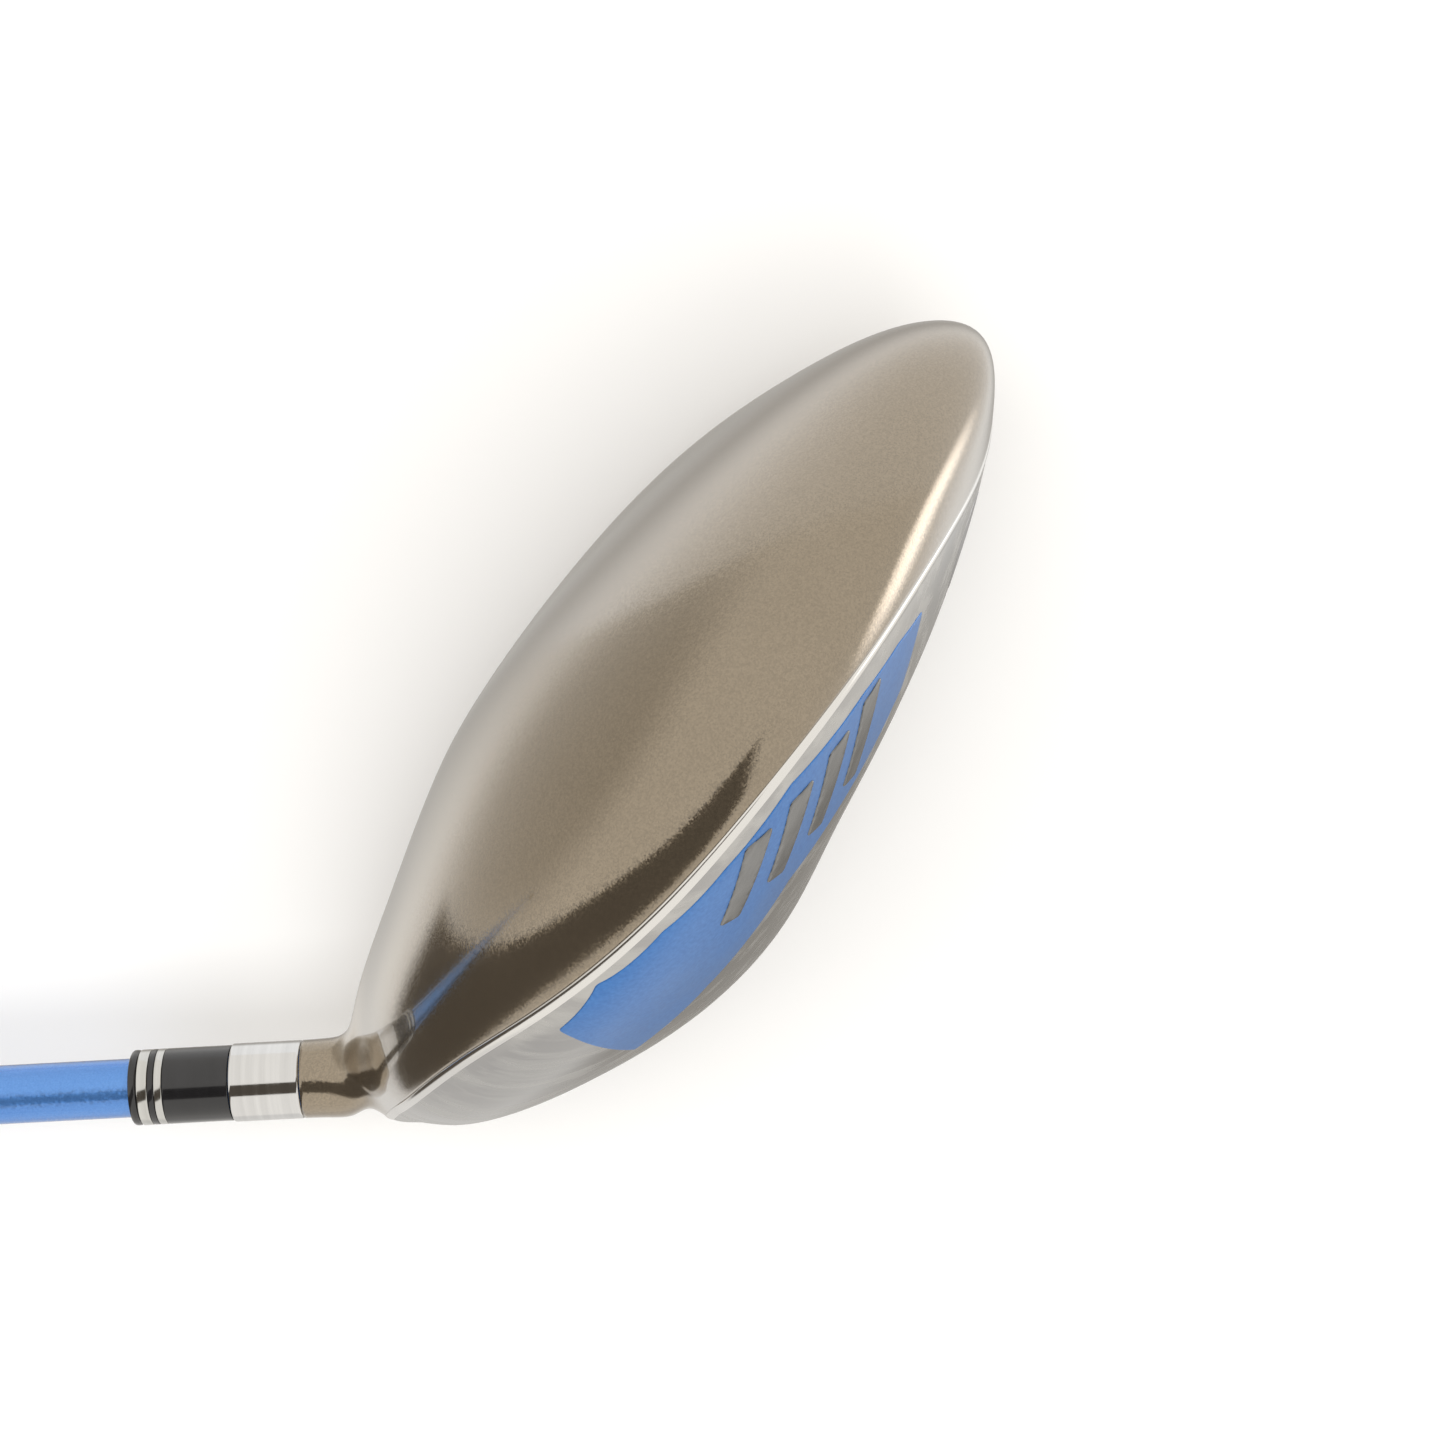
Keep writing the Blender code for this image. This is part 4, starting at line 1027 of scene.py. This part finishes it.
def studio_world():
    """Surround that the polished surfaces mirror: warm walls, paler and darker patches, one dark strip
    from overhead past the horizon, and one bright patch. It goes on below the floor."""
    world = bpy.data.worlds.new("studio")
    bpy.context.scene.world = world
    world.use_nodes = True
    sky = Nodes(world.node_tree)
    direction = sky.node("TexCoord").outputs["Generated"]

    def angle_to(unit):
        cosine = sky.sum("MINIMUM", sky.vector("DOT_PRODUCT", direction, unit), 1.0)
        return sky.sum("MULTIPLY", sky.sum("ARCCOSINE", cosine), 180.0 / math.pi)

    def within(value, inner, outer):
        made = sky.node("MapRange", interpolation_type="SMOOTHSTEP")
        for name, number in (("Value", value), ("From Min", outer), ("From Max", inner)):
            sky.feed(made.inputs[name], number)
        return made.outputs["Result"]

    shade = (*WALL, 1.0)
    for azimuth, polar, inner, outer, colour in SKY_PATCHES:
        share = within(angle_to(sky_direction(azimuth, polar)), inner, outer)
        shade = sky.mix(share, shade, colour)
    middle = Vector(sky_direction(*DARK_SIDE))
    across = middle.cross((0.0, 0.0, 1.0)).normalized()
    off = sky.sum("ABSOLUTE", sky.sum("SUBTRACT", angle_to(across), 90.0))
    strip = sky.sum("MULTIPLY", within(off, *DARK_HALF), within(angle_to(middle), *DARK_REACH))
    shade = sky.mix(strip, shade, DARK_SHADE)
    azimuth, polar, inner, outer, colour = KEY_PATCH
    shade = sky.mix(within(angle_to(sky_direction(azimuth, polar)), inner, outer), shade, colour)
    sky.feed(sky.tree.nodes["Background"].inputs["Color"], shade)


LIGHT_SIDE = 2.6                    # m
LIGHT_POWER = 40.0                  # W
LIGHT_PLACE = (0.2, 0.1, 2.2)       # m


def overhead_light():
    """Large soft light over the club. Polished surfaces don't mirror it."""
    data = bpy.data.lights.new("overhead", "AREA")
    data.shape = "RECTANGLE"
    data.size = LIGHT_SIDE
    data.size_y = LIGHT_SIDE
    data.energy = LIGHT_POWER
    made = bpy.data.objects.new("overhead", data)
    bpy.context.scene.collection.objects.link(made)
    made.location = LIGHT_PLACE
    made.visible_glossy = False


# ---------------------------------------------------------------- build


def build():
    skin = Skin(SMOOTH_LEVEL)
    painted_shell(skin, crown_paint())
    sole_skin(skin, sole_metal())
    face_skin(skin, face_metal())
    outside = skin.tree(SOLE)
    badge_and_bars(outside, panel_blue(), bar_metal())
    grey = turned_metal("plug_metal", (0.30, 0.30, 0.31), (0.44, 0.44, 0.45), 0.2, 0.34, 700.0)
    weight_plug(outside, grey)
    chrome = turned_metal("collar_chrome", (0.70, 0.70, 0.70), (0.82, 0.82, 0.82), 0.05, 0.12, 900.0)
    silver = turned_metal("ferrule_silver", (0.62, 0.62, 0.60), (0.78, 0.78, 0.76), 0.1, 0.2, 900.0)
    collar_and_ferrule(chrome, gloss_black(), silver)
    shaft(shaft_paint())
    grip(grip_rubber())
    dress_kept_nodes()
    camera()
    floor()
    studio_world()
    overhead_light()
    bpy.context.scene.view_settings.view_transform = "Standard"


build()
bpy.context.view_layer.update()
